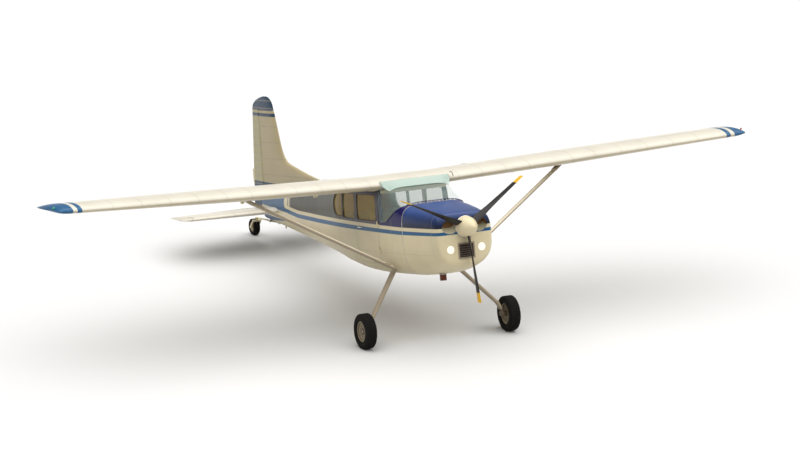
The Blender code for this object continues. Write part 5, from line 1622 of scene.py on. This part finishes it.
def build_main_wheel(side, word):
    body = word + "_main_wheel"
    turn = stand(centre_of("main_tyre_" + word), 90 * side, "Y")
    build_tyre("tyre_" + word, TYRE_RADIUS, TYRE_WIDTH, HUB_RADIUS + BORE_GAP, (-0.75, -0.25, 0.25, 0.75),
               turn, body, "main_tyre_" + word, 120)
    half = TYRE_WIDTH * 0.36
    face = [(r, half * share, mark) for r, share, mark in HUB_FACE]
    disc = [(0.0, half * 0.70, 3), (0.018, half * 0.70, 3), (0.022, half * 0.82, 3)] + face
    disc += [(r, -h, mark) for r, h, mark in reversed(face)]
    disc += [(0.0205, -half * 0.82, 3), (0.0205, 0.013, 3), (0.0, 0.013, 3)]
    add("hub_" + word, lathe(disc, turn, 72), "hub", "hub_groove_painted_shade", "hub_web", "hub_bore", body=body,
        replaces="main_hub_" + word, level=False)
    out = turn.to_3x3() @ Vector((0, 0, 1))
    bolts = []
    for at in turns(HUB_BOLTS):
        place = turn @ Vector((BOLT_CIRCLE * math.cos(at), BOLT_CIRCLE * math.sin(at), half * 0.42))
        bolts.append(rod(place, place + out * 0.010, 0.008, 6))
    cap = turn @ Vector((0, 0, half * 0.60))
    bolts.append(rod(cap, cap + out * 0.012, 0.019, 24, 0.015))
    add("hub_bolts_" + word, merged(bolts), "steel", body=body, level=False)


def build_leg(side, word):
    add("gear_spring_" + word, spar(GEAR_LEG, (0, 1, 0), squareness=4.0), "gear", side=side,
        replaces="gear_leg_" + word)
    x, y, z = MAIN_AXLE
    axle = merged([rod((1.016, y, z), (x + 0.010, y, z), 0.0195, 24),
                   rod((1.020, y, z), (1.034, y, z), 0.040, 36, 0.046),
                   rod((1.034, y, z), (1.052, y, z), 0.046, 36),
                   rod((1.022, 0.243, -1.350), (1.034, y, z + 0.020), 0.024, 20)])
    add("main_axle_" + word, axle, "hub_bore", side=side, bevel=0.003)
    calliper = box((1.047, 1.079), (y + 0.070, y + 0.125), (z - 0.040, z + 0.040))
    bracket = box((1.030, 1.048), (y + 0.015, y + 0.110), (z - 0.022, z + 0.022))
    add("brake_calliper_" + word, merged([calliper, bracket]), "iron", side=side, slot="engine_metal",
        bevel=0.005)
    line = [Vector((px, py + half_chord + 0.006, pz)) for px, py, pz, half_chord, _ in GEAR_LEG]
    line.append(Vector((1.060, y + 0.110, z + 0.035)))
    add("brake_line_" + word, rope(line, 0.004), "seal", side=side)


def build_tail_wheel():
    spring = spar(TAIL_SPRING, (1, 0, 0), 16, 6)
    add("tail_leaf_spring", spring, "cream", replaces="tail_spring", slot="bare_steel")
    clamps = [box((-0.034, 0.034), (y, y + 0.045), (z - 0.017, z + 0.022)) for y, z in SPRING_CLAMPS]
    add("spring_clamps", merged(clamps), "steel", bevel=0.003)
    repaint("tail_wheel_fork", "cream")
    turn = stand(TAIL_WHEEL, 90, "Y")
    build_tyre("tail_wheel_tyre", TAIL_TYRE_RADIUS, TAIL_TYRE_WIDTH, TAIL_HUB_RADIUS + BORE_GAP, (-0.5, 0.5),
               turn, "tail_wheel", "tail_tyre", 72)
    half = TAIL_TYRE_WIDTH * 0.40
    outer = [(0.0106, half), (0.026, half), (0.033, half * 0.6), (0.056, half * 0.55), (0.064, half * 0.9),
             (0.0695, half)]
    loop = outer + [(r, -h) for r, h in reversed(outer)]
    add("tail_wheel_hub", lathe(loop, turn, 48), "hub", body="tail_wheel", replaces="tail_hub", level=False)


# Camera, lights and floor
VIEW_AZIMUTH = math.radians(-25.098)
VIEW_ELEVATION = math.radians(14.806)
VIEW_DISTANCE = 98.23
VIEW_LENS = 309.2
VIEW_TARGET_HEIGHT = 1.2
VIEW_SLIDE = (-35.80 / 70.0, 32.39 / 70.0)
FLOOR_REACH = 2000.0
FLOOR_GREY = (0.58, 0.58, 0.58)
SUN_STRENGTH = 5.0
SUN_ANGLE = 110
WORLD_STRENGTH = 0.28


def build_camera():
    target = Vector((0, AIRFRAME.to_translation().y, VIEW_TARGET_HEIGHT))
    back = Vector((math.sin(VIEW_AZIMUTH) * math.cos(VIEW_ELEVATION),
                   -math.cos(VIEW_AZIMUTH) * math.cos(VIEW_ELEVATION), math.sin(VIEW_ELEVATION)))
    right = Vector((math.cos(VIEW_AZIMUTH), math.sin(VIEW_AZIMUTH), 0))
    up = back.cross(right)
    lens = bpy.data.cameras.new("camera")
    lens.lens = VIEW_LENS
    lens.sensor_width = 36
    lens.clip_end = 2 * FLOOR_REACH
    camera = link("camera", lens)
    place = target + back * VIEW_DISTANCE + right * VIEW_SLIDE[0] + up * VIEW_SLIDE[1]
    camera.matrix_world = Matrix.Translation(place) @ Matrix((right, up, back)).transposed().to_4x4()
    bpy.context.scene.camera = camera


def build_studio():
    corners = [(x * FLOOR_REACH, y * FLOOR_REACH, 0) for x, y in ((-1, -1), (1, -1), (1, 1), (-1, 1))]
    floor = build_mesh(corners, [(0, 1, 2, 3)])
    floor.materials.append(Graph("pale_floor", 0.65, Base_Color=FLOOR_GREY, Specular_IOR_Level=0.2).material)
    link("floor", floor)
    world = bpy.data.worlds.new("studio")
    world.use_nodes = True
    sky = world.node_tree.nodes["Background"].inputs
    sky["Color"].default_value = (0.97, 0.98, 1.0, 1)
    sky["Strength"].default_value = WORLD_STRENGTH
    bpy.context.scene.world = world
    lamp = bpy.data.lights.new("overhead", "SUN")
    lamp.energy = SUN_STRENGTH
    lamp.angle = math.radians(SUN_ANGLE)
    lamp.color = (1.0, 0.99, 0.97)
    link("overhead", lamp).rotation_euler = (math.radians(4), math.radians(5), 0)
    bpy.context.scene.view_settings.view_transform = "Standard"


build_nose()
build_exhaust()
build_propeller()
build_cabin()
build_interior()
build_wings()
build_tail()
for side, word in SIDES:
    build_main_wheel(side, word)
    build_leg(side, word)
build_tail_wheel()
build_camera()
build_studio()
